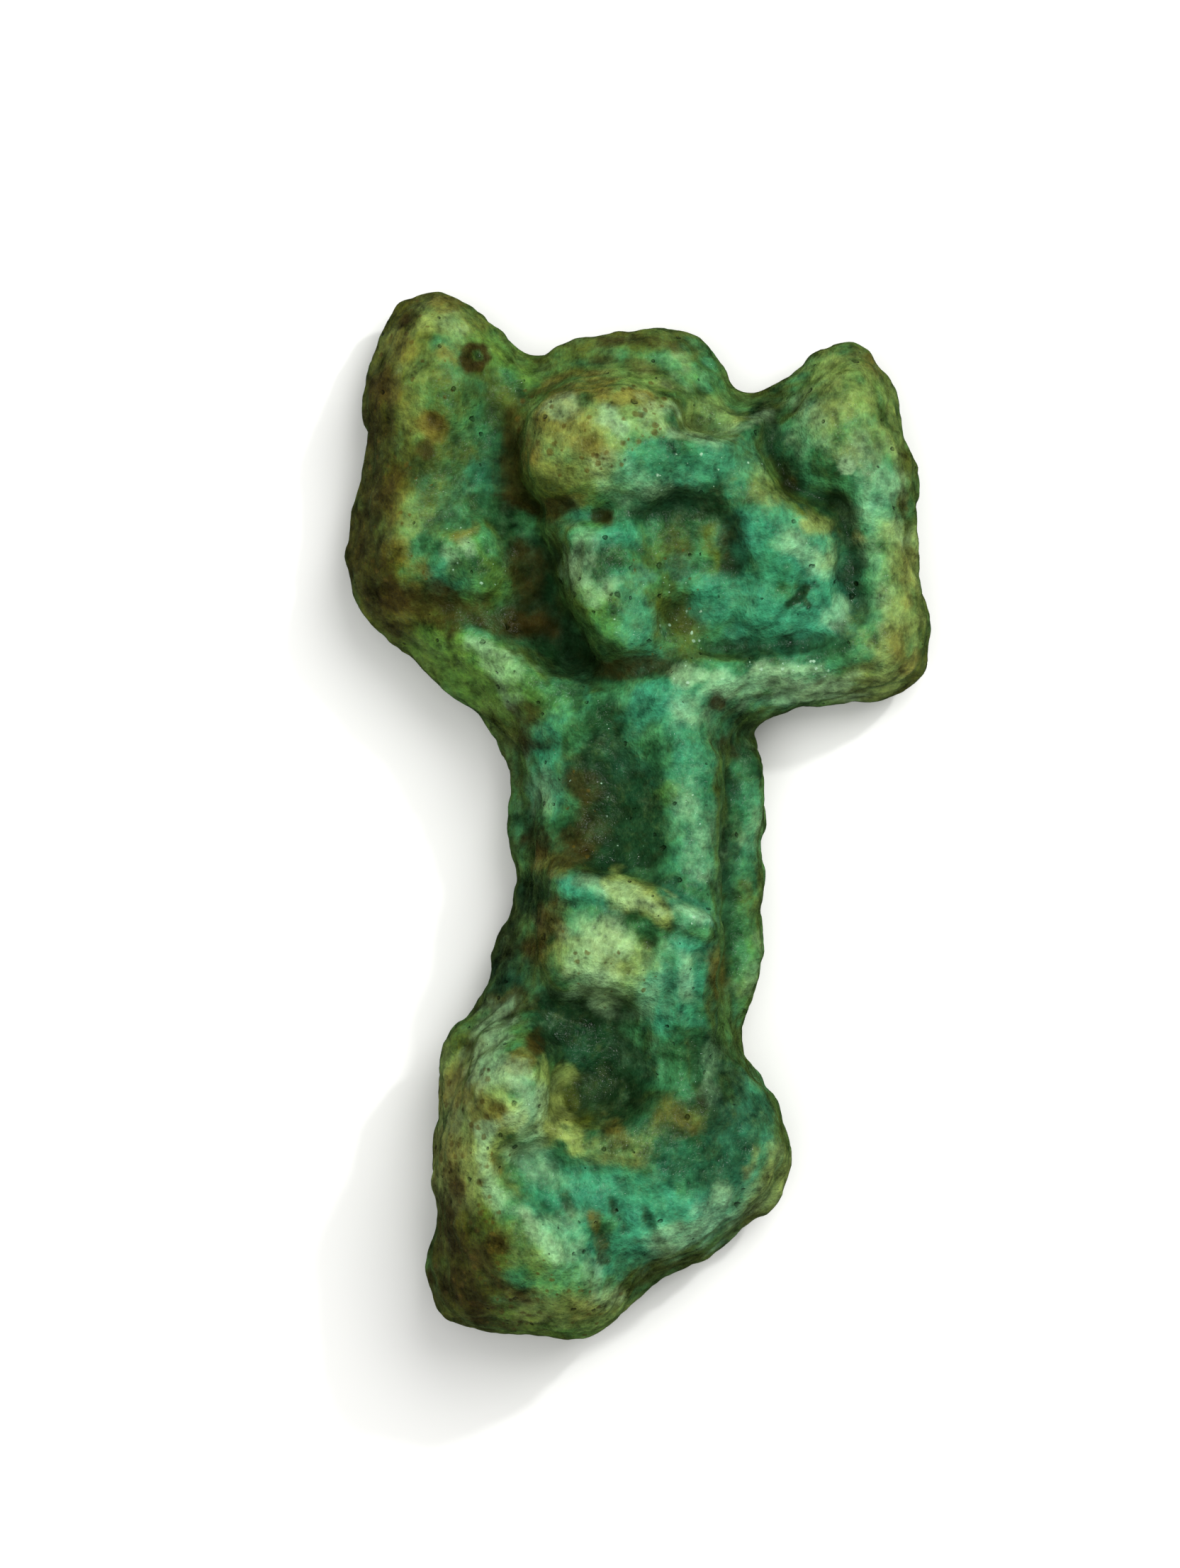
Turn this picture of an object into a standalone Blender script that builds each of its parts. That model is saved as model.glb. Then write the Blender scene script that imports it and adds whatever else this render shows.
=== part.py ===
# Amulet of moulded faience: a kneeling god holding up the sun disc with both hands.
# It is a loose, worn piece that lies on its flat back pillar.
# Metres, +Z up. The front of the figure looks up, its head points to +Y, and the
# origin is under the middle of the piece, on the plane that it lies on.

import math

import bmesh
import bpy
import numpy as np
from mathutils import Matrix, Vector

# Driving sizes
HEIGHT = 0.030  # foot block to the tip of the higher hand
PILLAR_WIDTH = 0.0072  # the back pillar below the arms, across
NECK_PILLAR_WIDTH = 0.0058  # the back pillar behind the arms and the head, across
PILLAR_DEPTH = 0.0036  # the back pillar, from the flat back to the figure
PILLAR_EDGE = 0.0006  # rounding of the pillar's long edges
HOLE_DIAMETER = 0.0016  # suspension hole, drilled sideways through the pillar
HOLE_WALL = 0.0009  # faience left between the hole and the flat back
PLATE_RISE = 0.0007  # the backs of the arms and legs stand off the flat back by this

# The figure's pose, proportions and carving are laid out on a square grid.
GRID_SQUARES = 30
SQUARE = HEIGHT / GRID_SQUARES
RELIEF = 1.35 * SQUARE  # one square of relief, toward the viewer
SLAB = (PILLAR_DEPTH - PLATE_RISE) / RELIEF  # what lies behind the relief, in relief squares
HOLE_LEVEL = 1.0 * SQUARE  # under the arms
PILLAR_TOP = 11.0 * SQUARE
PILLAR_SHOULDER = 2.15 * SQUARE
PILLAR_FOOT = -10.8 * SQUARE
FULLNESS = 0.07 * SQUARE  # added round the outlines for what the softening takes off

# Surface resolution
VOXEL = 0.25 * SQUARE
MOST_TRIANGLES = 9400


def start_scene():
    for old in list(bpy.data.objects):
        bpy.data.objects.remove(old)


def collection(name):
    made = bpy.data.collections.new(name)
    bpy.context.scene.collection.children.link(made)
    return made


def place(x, y, lift):
    """A point of the figure: grid squares across and up, and relief squares in front of the pillar."""
    return Vector((x * SQUARE, y * SQUARE, PILLAR_DEPTH + lift * RELIEF))


def mesh_object(name, bm, home):
    mesh = bpy.data.meshes.new(name)
    bm.to_mesh(mesh)
    bm.free()
    obj = bpy.data.objects.new(name, mesh)
    home.objects.link(obj)
    return obj


def faience():
    glaze = bpy.data.materials.new("green faience")
    glaze.use_nodes = True
    shader = glaze.node_tree.nodes["Principled BSDF"]
    shader.inputs["Base Color"].default_value = (0.045, 0.17, 0.09, 1)
    shader.inputs["Roughness"].default_value = 0.35
    shader.inputs["IOR"].default_value = 1.5
    return glaze


# Masses of the figure. It was pressed in an open mould, so nothing on the front is undercut:
# every mass goes straight down to the slab behind it.

def lumps(bm, *balls):
    """The skin stretched over balls, each (x, y, lift, radius) or with three radii, in squares."""
    part = bmesh.new()
    for x, y, lift, *radii in balls:
        across, up, out = radii if len(radii) == 3 else radii * 3
        foot = min(out, 1.1)
        for level, depth in ((lift, out), (min(lift, foot - SLAB), foot)):
            matrix = Matrix.Translation(place(x, y, level)) @ Matrix.Diagonal(
                (across * SQUARE, up * SQUARE, depth * SQUARE, 1)
            )
            bmesh.ops.create_icosphere(part, subdivisions=3, radius=1, matrix=matrix)
    hull = bmesh.ops.convex_hull(part, input=part.verts[:])
    inner = [g for g in hull["geom_interior"] + hull["geom_unused"] if isinstance(g, bmesh.types.BMVert)]
    bmesh.ops.delete(part, geom=list(set(inner)), context="VERTS")
    skin = bpy.data.meshes.new("lumps")
    part.to_mesh(skin)
    part.free()
    bm.from_mesh(skin)
    bpy.data.meshes.remove(skin)


def plate(bm, outline, low, high, rounding):
    """A flat cake of clay with this outline in squares, between two heights, its rim rounded."""
    rounding = min(rounding, 0.4 * (high - low))
    curve = bpy.data.curves.new("plate", "CURVE")
    curve.dimensions = "2D"
    curve.fill_mode = "BOTH"
    curve.resolution_u = 5
    curve.bevel_depth = rounding
    curve.bevel_resolution = 3
    curve.offset = FULLNESS - rounding
    curve.extrude = (high - low) / 2 - rounding
    spline = curve.splines.new("BEZIER")
    spline.bezier_points.add(len(outline) - 1)
    for point, (x, y) in zip(spline.bezier_points, outline):
        point.co = (x * SQUARE, y * SQUARE, 0)
        point.handle_left_type = point.handle_right_type = "AUTO"
    spline.use_cyclic_u = True
    holder = bpy.data.objects.new("plate", curve)
    bpy.context.scene.collection.objects.link(holder)
    bpy.context.view_layer.update()
    solid = bpy.data.meshes.new_from_object(holder.evaluated_get(bpy.context.evaluated_depsgraph_get()))
    solid.transform(Matrix.Translation((0, 0, (low + high) / 2)))
    bm.from_mesh(solid)
    bpy.data.objects.remove(holder)
    bpy.data.curves.remove(curve)
    bpy.data.meshes.remove(solid)
    bmesh.ops.remove_doubles(bm, verts=bm.verts[:], dist=1e-7)


# Outline of the raised arms with the web and the disc between them,
# from the left armpit up round the left hand, over the disc and down the right arm.
LEFT_ARM_EDGE = [
    (-3.5, 0.6), (-3.9, 1.8), (-4.75, 3.4), (-5.9, 4.3), (-7.25, 5.15), (-7.95, 6.0), (-8.35, 7.0),
    (-8.2, 8.4), (-7.7, 10.0), (-7.7, 10.8), (-7.95, 11.4), (-7.75, 12.6), (-7.05, 14.35), (-6.2, 15.0),
]
DISC_EDGE = [
    (-5.05, 14.7), (-3.95, 13.85), (-2.85, 12.85), (-2.0, 13.15), (-0.9, 13.7), (0.7, 13.75),
    (1.9, 13.4), (2.2, 12.65), (2.9, 11.85), (3.6, 11.95),
]
RIGHT_ARM_EDGE = [
    (5.95, 13.5), (6.7, 13.1), (7.2, 12.25), (7.7, 10.6), (8.05, 9.15), (7.8, 7.7), (8.2, 6.0),
    (8.35, 4.9), (8.1, 3.9), (7.55, 3.5), (5.5, 3.1), (3.7, 2.9), (2.9, 2.4), (2.4, 1.0), (-2.4, 0.2),
]

# Outline of the hips, the legs and the foot block, from the right hip down and round.
LEGS_EDGE = [
    (1.0, -4.5), (3.0, -6.3), (3.65, -7.4), (4.15, -8.6), (4.3, -10.0), (3.95, -11.0), (3.05, -11.8),
    (2.15, -12.5), (0.3, -13.5), (-0.45, -14.45), (-1.4, -14.95), (-3.3, -14.9), (-5.0, -14.7),
    (-5.65, -14.3), (-5.95, -13.6), (-5.8, -12.0), (-5.85, -9.5), (-5.5, -7.6), (-4.9, -6.1),
    (-4.3, -4.6), (-3.6, -2.8), (-2.0, -2.5),
]


def block(bm, width, foot, top):
    middle = Matrix.Translation((0, (top + foot) / 2, PILLAR_DEPTH / 2))
    made = bmesh.ops.create_cube(bm, size=1, matrix=middle @ Matrix.Diagonal((width, top - foot, PILLAR_DEPTH, 1)))
    edges = list({e for v in made["verts"] for e in v.link_edges})
    bmesh.ops.bevel(bm, geom=edges, offset=PILLAR_EDGE, segments=3, affect="EDGES", profile=0.5)


def build_pillar(bm):
    block(bm, PILLAR_WIDTH, PILLAR_FOOT, PILLAR_SHOULDER)
    block(bm, NECK_PILLAR_WIDTH, PILLAR_FOOT, PILLAR_TOP)


def build_arms(bm):
    outline = LEFT_ARM_EDGE + DISC_EDGE + RIGHT_ARM_EDGE
    plate(bm, outline, PLATE_RISE, PILLAR_DEPTH + 0.6 * SQUARE, 1.2 * SQUARE)
    lumps(bm, (-1.9, 2.3, 0.9, 1.2), (-3.6, 3.7, 0.8, 1.2), (-4.9, 4.7, 0.6, 1.1), (-6.9, 6.2, 0.2, 1.1))
    lumps(bm, (-6.8, 6.8, 0.0, 1.5), (-6.3, 9.3, 0.0, 1.6), (-6.0, 11.6, 0.0, 1.7))
    lumps(bm, (-6.1, 11.6, 0.2, 1.4), (-6.0, 13.5, 0.1, 1.2), (-5.0, 13.2, 0.2, 0.8))
    lumps(bm, (0.6, 3.2, 1.3, 1.2), (1.5, 3.7, 1.4, 1.1), (4.0, 3.9, 1.1, 0.95), (7.1, 4.5, 0.8, 0.9))
    lumps(bm, (7.2, 4.8, 0.6, 1.0), (7.05, 7.4, 0.5, 0.9), (6.9, 9.4, 0.5, 1.0))
    lumps(bm, (6.9, 9.4, 0.5, 1.0), (5.6, 10.3, 0.6, 1.2), (6.1, 12.0, 0.4, 1.1), (5.3, 11.4, 0.5, 1.0))


def build_head(bm):
    lumps(bm, (-1.25, 10.45, 1.7, 2.3, 1.9, 2.2))
    lumps(bm, (1.0, 8.2, 0.4, 3.3, 3.4, 2.4))
    lumps(bm, (-1.2, 7.9, 1.5, 1.6), (-1.2, 6.5, 1.8, 1.5, 1.2, 1.5), (-0.4, 5.1, 1.8, 1.2, 1.0, 1.2))
    lumps(bm, (-0.6, 10.2, 1.6, 1.5), (1.8, 9.8, 1.5, 1.1), (3.2, 10.8, 0.6, 0.8), (1.6, 11.2, 0.9, 0.9))
    lumps(bm, (-0.7, 10.5, 2.0, 1.7), (1.2, 9.9, 1.9, 1.2), (2.5, 9.6, 1.4, 1.0))
    lumps(bm, (2.2, 9.6, 1.4, 1.0), (3.4, 8.2, 1.5, 1.1), (4.9, 7.5, 1.0, 1.0), (3.4, 6.0, 1.2, 0.9), (5.1, 5.8, 0.8, 0.9))
    lumps(bm, (0.6, 7.6, 1.2, 1.5), (1.2, 6.0, 1.0, 1.4), (0.9, 5.4, 0.9, 1.2))
    lumps(bm, (-4.9, 7.1, 0.5, 1.4, 1.3, 1.2))
    lumps(bm, (-0.3, 12.2, 0.1, 2.9, 1.5, 1.2))


def build_torso(bm):
    lumps(bm, (-0.5, 2.5, 0.5, 2.9, 1.6, 2.1), (-0.5, -1.4, 0.6, 2.7, 1.2, 2.0))
    lumps(bm, (1.1, 2.4, 1.1, 1.4), (1.45, 1.2, 1.4, 1.0), (1.45, -1.7, 1.7, 1.0))
    lumps(bm, (-2.3, 2.6, 0.9, 1.1), (-2.4, 0.6, 1.0, 0.9))


def build_kilt(bm):
    lumps(bm, (-1.8, -2.2, 1.9, 1.1), (1.4, -3.0, 1.9, 1.0), (-1.6, -4.2, 2.3, 1.2), (1.0, -4.7, 2.0, 1.2))
    lumps(bm, (0.3, -4.4, 2.2, 1.3), (1.3, -7.4, 1.4, 1.0), (0.2, -7.4, 1.3, 1.1))
    lumps(bm, (0.4, -3.4, 2.4, 1.1), (1.3, -3.7, 2.1, 1.0), (1.5, -6.2, 1.8, 0.8), (0.5, -6.4, 1.8, 0.9))
    lumps(bm, (-1.3, -3.4, 1.9, 1.6, 1.0, 1.7), (-1.1, -4.0, 2.1, 1.7, 1.4, 1.7))


def build_legs(bm):
    plate(bm, LEGS_EDGE, PLATE_RISE, PILLAR_DEPTH + 1.2 * SQUARE, 1.4 * SQUARE)
    lumps(bm, (-2.8, -3.2, 0.2, 0.9), (-3.7, -5.6, 0.6, 1.0), (-2.4, -4.6, 0.8, 1.1))
    lumps(bm, (-1.8, -6.2, 0.5, 1.3), (-3.9, -7.9, 2.7, 1.7), (-4.3, -6.9, 1.2, 1.3))
    lumps(bm, (-3.9, -7.9, 2.7, 1.7), (-4.4, -9.7, 2.3, 1.4), (-4.5, -11.2, 2.0, 1.2))
    lumps(bm, (-4.5, -11.3, 1.8, 1.2), (-4.4, -13.2, 1.2, 1.5), (-1.6, -13.6, 1.4, 1.3), (-2.9, -12.2, 2.2, 1.4))
    lumps(bm, (-4.4, -11.3, 2.2, 1.3), (-2.7, -12.3, 2.3, 1.4), (-1.7, -13.3, 1.9, 1.2))
    lumps(bm, (-4.2, -10.3, 2.4, 0.9), (-3.4, -11.2, 2.4, 0.9), (-2.7, -12.1, 2.4, 0.9))
    lumps(bm, (1.6, -6.6, 0.8, 1.3), (2.9, -9.2, 1.0, 1.4), (2.8, -10.3, 0.9, 1.3))
    lumps(bm, (2.6, -10.0, 1.1, 1.4), (-1.5, -10.9, 2.0, 1.2), (-1.0, -12.0, 1.6, 1.3), (1.0, -11.4, 1.4, 1.6))
    lumps(bm, (-3.9, -9.3, 1.0, 1.2), (-2.4, -9.8, 1.2, 1.2), (-3.6, -11.4, 1.2, 1.2), (-2.0, -11.6, 1.2, 1.2))
    lumps(bm, (-2.0, -8.9, 2.1, 0.9), (0.0, -9.6, 2.1, 1.1), (1.6, -8.7, 1.8, 1.0), (0.4, -10.6, 1.8, 1.2))


# The parts of the two outlines that are the amulet's own rim
ARMS_RIM = LEFT_ARM_EDGE + DISC_EDGE + RIGHT_ARM_EDGE[:-2]
LEGS_RIM = LEGS_EDGE[1:-1]

# Rounding of the front toward the outline, in squares
RIM_REACH = 1.9
RIM_LIFT = -1.2  # where the rounding meets the side
RIM_LEFT = 0.25  # share of the height left standing at the very edge

# Carving. A level brings the surface down to a lift, a stroke presses it down or raises it.
# Each has a path in squares, the half width that it fully covers, the fade beyond that, and
# the lift or the change in relief squares.

LEVELS = {
    "web beside the left hand": ([(-4.1, 12.0), (-4.4, 10.6), (-4.1, 9.2)], 0.25, 0.8, 0.9),
    "web beside the crown": ([(-3.75, 11.9), (-3.7, 9.3)], 0.15, 0.5, 0.7),
    "hollow left of the face": ([(-3.6, 8.4), (-2.9, 7.3), (-2.7, 6.0), (-2.0, 4.8)], 0.3, 0.6, 0.5),
    "hollow under the chin": ([(-1.6, 4.35), (-0.4, 4.05), (0.7, 4.3)], 0.05, 0.5, 1.6),
    "groove inside the right hand": ([(4.05, 11.6), (3.7, 10.6), (4.3, 9.4), (5.5, 8.8)], 0.1, 0.5, 0.8),
    "groove inside the right arm": ([(5.9, 8.2), (6.0, 7.2), (6.25, 5.9)], 0.12, 0.5, 0.7),
    "groove over the right arm": ([(5.3, 5.0), (3.6, 4.8), (1.9, 4.75)], 0.1, 0.4, 1.3),
    "groove over the left arm": ([(-6.6, 5.85), (-5.3, 5.9), (-4.1, 5.4), (-2.6, 4.5)], 0.1, 0.5, 0.8),
    "facet beside the crown": ([(1.6, 11.1), (2.4, 11.1)], 0.3, 0.4, 0.9),
    "pan of the ear": ([(1.2, 7.9), (1.6, 7.2), (1.5, 5.9)], 0.35, 1.0, 1.8),
    "hollow under the ear": ([(1.1, 5.7), (1.6, 5.3)], 0.2, 0.6, 1.5),
    "recess between the legs": ([(-2.0, -6.0), (-0.8, -6.1), (-0.7, -7.5), (-1.7, -7.7)], 0.4, 1.0, 1.7),
    "hollow beside the shin": ([(-3.5, -9.8), (-2.8, -10.0)], 0.25, 0.6, 2.5),
    "gap beside the body": ([(2.65, 2.0), (2.6, -5.0)], 0.08, 0.3, 0.0),
    "gap under the left arm": ([(-3.35, 0.4), (-3.3, -2.0)], 0.1, 0.4, -0.1),
}

STROKES = {
    "hollow of the chest": ([(-0.6, 1.9), (-0.7, -0.9)], 0.1, 1.5, -0.35),
    "curve of the ear": ([(0.2, 8.5), (1.1, 9.0), (2.2, 8.7), (2.7, 7.7), (2.6, 6.7)], 0.1, 0.45, -0.25),
    "brow": ([(-2.9, 8.6), (-1.8, 8.5), (-0.6, 8.6)], 0.05, 0.5, -0.4),
    "rim of the disc": ([(-2.3, 12.6), (-0.8, 13.0), (1.2, 12.8)], 0.05, 0.35, -0.2),
    "ridge under the facet": ([(1.1, 10.4), (2.2, 10.3), (3.6, 11.2)], 0.1, 0.4, 0.3),
    "belt": ([(-2.1, -1.9), (0.1, -2.4), (2.0, -3.1)], 0.2, 0.4, 0.3),
    "pleat": ([(0.75, -5.0), (0.8, -7.2)], 0.1, 0.6, -0.3),
    "knee crease": ([(-2.4, -7.4), (-2.5, -8.6), (-3.2, -9.4)], 0.05, 0.35, -0.5),
    "instep crease": ([(-2.8, -10.8), (-2.1, -11.6), (-1.7, -12.4)], 0.05, 0.4, -0.25),
}


# Wear along the pillar's two long edges: level, bite and reach, in squares.
NICKS = {
    1: [(-0.9, 0.15, 0.6), (-2.8, 0.22, 0.5), (-6.5, 0.6, 2.6)],
    -1: [(-1.65, 0.2, 0.35), (1.2, 0.1, 0.6)],
}


def distance_to(path, x, y):
    """Distance in squares from every vertex to a path."""
    nearest = np.full(len(x), np.inf)
    for (x1, y1), (x2, y2) in zip(path, path[1:]):
        run = np.array([x2 - x1, y2 - y1])
        share = np.clip(((x - x1) * run[0] + (y - y1) * run[1]) / (run @ run), 0, 1)
        nearest = np.minimum(nearest, np.hypot(x - x1 - share * run[0], y - y1 - share * run[1]))
    return nearest


def rolled(lift, x, y):
    """The front rounds over toward the outline, as a worn casting does."""
    edge = np.minimum(distance_to(ARMS_RIM, x, y), distance_to(LEGS_RIM, x, y))
    share = np.clip(edge / RIM_REACH, 0, 1)
    arc = RIM_LEFT + (1 - RIM_LEFT) * np.sqrt(1 - (1 - share) ** 2)
    return np.where(lift > RIM_LIFT, RIM_LIFT + (lift - RIM_LIFT) * arc, lift)


def faded(distance, core, fade):
    share = np.clip(1 - (distance - core) / fade, 0, 1)
    return share * share * (3 - 2 * share)


def carve(mesh):
    flat = np.empty(len(mesh.vertices) * 3)
    mesh.vertices.foreach_get("co", flat)
    spots = flat.reshape(-1, 3)
    x = spots[:, 0] / SQUARE
    y = spots[:, 1] / SQUARE
    lift = (spots[:, 2] - PILLAR_DEPTH) / RELIEF
    front = np.clip(lift + 1.2, 0, 1)
    lift = rolled(lift, x, y)
    for path, core, fade, depth in LEVELS.values():
        weight = faded(distance_to(path, x, y), core, fade)
        lift += np.minimum(depth - lift, 0) * weight * front
    for path, core, fade, change in STROKES.values():
        lift += change * faded(distance_to(path, x, y), core, fade) * front
    spots[:, 2] = PILLAR_DEPTH + lift * RELIEF
    for side, nicks in NICKS.items():
        edge = np.clip((side * spots[:, 0] - 0.38 * PILLAR_WIDTH) / (0.12 * PILLAR_WIDTH), 0, 1)
        behind = edge * (lift < 0.4)
        for level, bite, reach in nicks:
            spots[:, 0] -= side * bite * SQUARE * behind * faded(np.abs(y - level), 0, reach)
    mesh.vertices.foreach_set("co", spots.reshape(-1))
    mesh.update()


def pressed(obj, softening_passes):
    """The object's skin made anew in even faces, with the seams between masses softened."""
    remesh = obj.modifiers.new("press together", "REMESH")
    remesh.mode = "VOXEL"
    remesh.voxel_size = VOXEL
    soften = obj.modifiers.new("soften", "SMOOTH")
    soften.factor = 0.5
    soften.iterations = softening_passes
    bpy.context.view_layer.update()
    graph = bpy.context.evaluated_depsgraph_get()
    obj.data = bpy.data.meshes.new_from_object(obj.evaluated_get(graph))
    obj.modifiers.clear()


def centre(mesh):
    """Moves the piece so that its outline is centred on the origin."""
    corners = np.empty(len(mesh.vertices) * 3)
    mesh.vertices.foreach_get("co", corners)
    spots = corners.reshape(-1, 3)
    middle = (spots.min(axis=0) + spots.max(axis=0)) / 2
    mesh.transform(Matrix.Translation((-middle[0], -middle[1], 0)))


def add_cutters(amulet, cutters):
    flat = bmesh.new()
    side = 2 * HEIGHT
    bmesh.ops.create_cube(flat, size=side, matrix=Matrix.Translation((0, 0, -side / 2)))
    hole = bmesh.new()
    across = Matrix.Translation((0, HOLE_LEVEL, HOLE_WALL + HOLE_DIAMETER / 2)) @ Matrix.Rotation(math.pi / 2, 4, "Y")
    bmesh.ops.create_cone(
        hole, cap_ends=True, segments=24, radius1=HOLE_DIAMETER / 2, radius2=HOLE_DIAMETER / 2,
        depth=HEIGHT, matrix=across,
    )
    for name, bm in (("flat_back_cutter", flat), ("cord_hole_cutter", hole)):
        cutter = mesh_object(name, bm, cutters)
        cutter.hide_render = True
        cutter.display_type = "WIRE"
        cut = amulet.modifiers.new(name, "BOOLEAN")
        cut.operation = "DIFFERENCE"
        cut.solver = "EXACT"
        cut.object = cutter


def main():
    start_scene()
    parts = collection("faience amulet")
    cutters = collection("cutters")
    clay = bmesh.new()
    for build in (build_pillar, build_arms, build_head, build_torso, build_kilt, build_legs):
        build(clay)
    amulet = mesh_object("amulet", clay, parts)
    pressed(amulet, 8)
    carve(amulet.data)
    pressed(amulet, 3)
    centre(amulet.data)
    amulet.data.materials.append(faience())
    amulet.data.shade_smooth()
    triangles = sum(len(p.vertices) - 2 for p in amulet.data.polygons)
    fewer = amulet.modifiers.new("fewer faces", "DECIMATE")
    fewer.ratio = min(1, MOST_TRIANGLES / triangles)
    add_cutters(amulet, cutters)


main()
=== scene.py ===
# A worn faience amulet of a kneeling god, lying on its back pillar on a pale table top.
# Front of the figure up (+Z), head towards +Y. Places on the figure are in millimetres
# from the middle of its outline, across and up.

import bpy
import numpy as np
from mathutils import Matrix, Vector, noise


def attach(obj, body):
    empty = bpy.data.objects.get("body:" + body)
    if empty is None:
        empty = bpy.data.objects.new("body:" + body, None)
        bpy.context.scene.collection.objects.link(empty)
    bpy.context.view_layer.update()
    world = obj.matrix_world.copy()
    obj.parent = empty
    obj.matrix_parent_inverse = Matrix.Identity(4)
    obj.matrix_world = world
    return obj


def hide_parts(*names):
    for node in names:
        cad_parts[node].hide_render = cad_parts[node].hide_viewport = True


mm = 0.001

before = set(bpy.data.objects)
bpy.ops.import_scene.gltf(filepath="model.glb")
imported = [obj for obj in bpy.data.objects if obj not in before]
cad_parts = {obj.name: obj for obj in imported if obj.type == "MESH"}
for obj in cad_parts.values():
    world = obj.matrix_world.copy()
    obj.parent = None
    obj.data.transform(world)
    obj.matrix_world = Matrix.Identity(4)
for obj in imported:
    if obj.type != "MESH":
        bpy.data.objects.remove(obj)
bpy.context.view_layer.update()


# The photograph's frame, and where the middle of the amulet's outline lies in it
photoView = {
    "widthPixels": 1665,
    "heightPixels": 2212,
    "outlineMiddle": (900.5, 1148.0),
    "pixelsPerMm": 49.23,
    "cameraDistance": 260 * mm,
    "outlineHeight": 2.5 * mm,  # the outline is widest this far above the table
    "sensorHeight": 36,
    "clipping": (1 * mm, 5),  # nearest and farthest that it sees, in metres
}


def addCamera(view):
    acrossMm = (view["widthPixels"] / 2 - view["outlineMiddle"][0]) / view["pixelsPerMm"]
    upMm = (view["outlineMiddle"][1] - view["heightPixels"] / 2) / view["pixelsPerMm"]
    tall = view["heightPixels"] / view["pixelsPerMm"] * mm
    data = bpy.data.cameras.new("photo camera")
    data.sensor_fit = "VERTICAL"
    data.sensor_height = view["sensorHeight"]
    data.lens = view["sensorHeight"] * view["cameraDistance"] / tall
    data.clip_start, data.clip_end = view["clipping"]
    camera = bpy.data.objects.new("photo camera", data)
    camera.location = (acrossMm * mm, upMm * mm, view["outlineHeight"] + view["cameraDistance"])
    bpy.context.scene.collection.objects.link(camera)
    bpy.context.scene.camera = camera


# Soft light from the upper right, as the highlights on the arms and the knee show. The room lights
# the shadows, but the glaze doesn't mirror it. Each lamp is its place and size in millimetres, its
# watts and whether the glaze mirrors it.
studio = {
    "roomColour": "ffffff",
    "roomStrength": 0.17,
    "lamps": {
        "key softbox": ((80, 100, 250), 150, 0.46, False),
        "small bright lamp": ((125, 125, 220), 16, 0.2, True),
        "fill softbox": ((-40, -20, 300), 260, 0.54, False),
    },
    "aimMm": (0, 0, 3),
    "tableColour": "f7f7f4",
    "tableRoughness": 0.9,
    "tableSide": 2.0,
}


# sRGB hex to the linear colour that a shader socket takes
def fromHex(code):
    channels = [int(code[i:i + 2], 16) / 255 for i in (0, 2, 4)]
    return [c / 12.92 if c <= 0.04045 else ((c + 0.055) / 1.055) ** 2.4 for c in channels] + [1.0]


# One node with its settings and links; gives its output. Inputs go by name or number:
# a socket is linked, anything else is set as the value
def addNode(tree, kind, inputs=None, output=0, **settings):
    node = tree.nodes.new("ShaderNode" + kind)
    for key, value in settings.items():
        setattr(node, key, value)
    for key, value in (inputs or {}).items():
        if isinstance(value, bpy.types.NodeSocket):
            tree.links.new(value, node.inputs[key])
        else:
            node.inputs[key].default_value = value
    return node.outputs[output]


def addStudio():
    scene = bpy.context.scene
    scene.view_settings.view_transform = "Standard"
    world = bpy.data.worlds.new("soft white room")
    scene.world = world
    world.use_nodes = True
    room = world.node_tree.nodes["Background"]
    room.inputs["Color"].default_value = fromHex(studio["roomColour"])
    room.inputs["Strength"].default_value = studio["roomStrength"]
    world.cycles_visibility.glossy = False
    for name, (placeMm, sizeMm, watts, mirrored) in studio["lamps"].items():
        data = bpy.data.lights.new(name, "AREA")
        data.shape = "DISK"
        data.size = sizeMm * mm
        data.energy = watts
        lamp = bpy.data.objects.new(name, data)
        lamp.location = Vector(placeMm) * mm
        aim = Vector(studio["aimMm"]) - Vector(placeMm)
        lamp.rotation_euler = aim.to_track_quat("-Z", "Y").to_euler()
        lamp.visible_glossy = mirrored
        scene.collection.objects.link(lamp)
    # Matt white laminate: no gloss of its own, and no mirror image in the glaze
    laminate = bpy.data.materials.new("matt white laminate")
    laminate.use_nodes = True
    shader = laminate.node_tree.nodes["Principled BSDF"]
    shader.inputs["Base Color"].default_value = fromHex(studio["tableColour"])
    shader.inputs["Roughness"].default_value = studio["tableRoughness"]
    bpy.ops.mesh.primitive_plane_add(size=studio["tableSide"], location=(0, 0, 0))
    table = bpy.context.object
    table.name = "tableTop"
    table.data.materials.append(laminate)
    table.visible_glossy = False


addCamera(photoView)
addStudio()
print("camera and studio set")


# Surface of the amulet: the solid's form, with its facets smoothed and the fine carving added
surface = {
    "voxel": 0.122 * mm,
    "facetSmoothing": (8, 0.5),  # passes, and the share of the way that each goes
    "finalSmoothing": (1, 0.3),
    "frontHeights": (1.6, 2.8),  # mm above the table where the carved front begins and is full
    "backHeights": (0, 0.6),  # the flat back stays flat: the unevenness comes in between these
}

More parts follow.
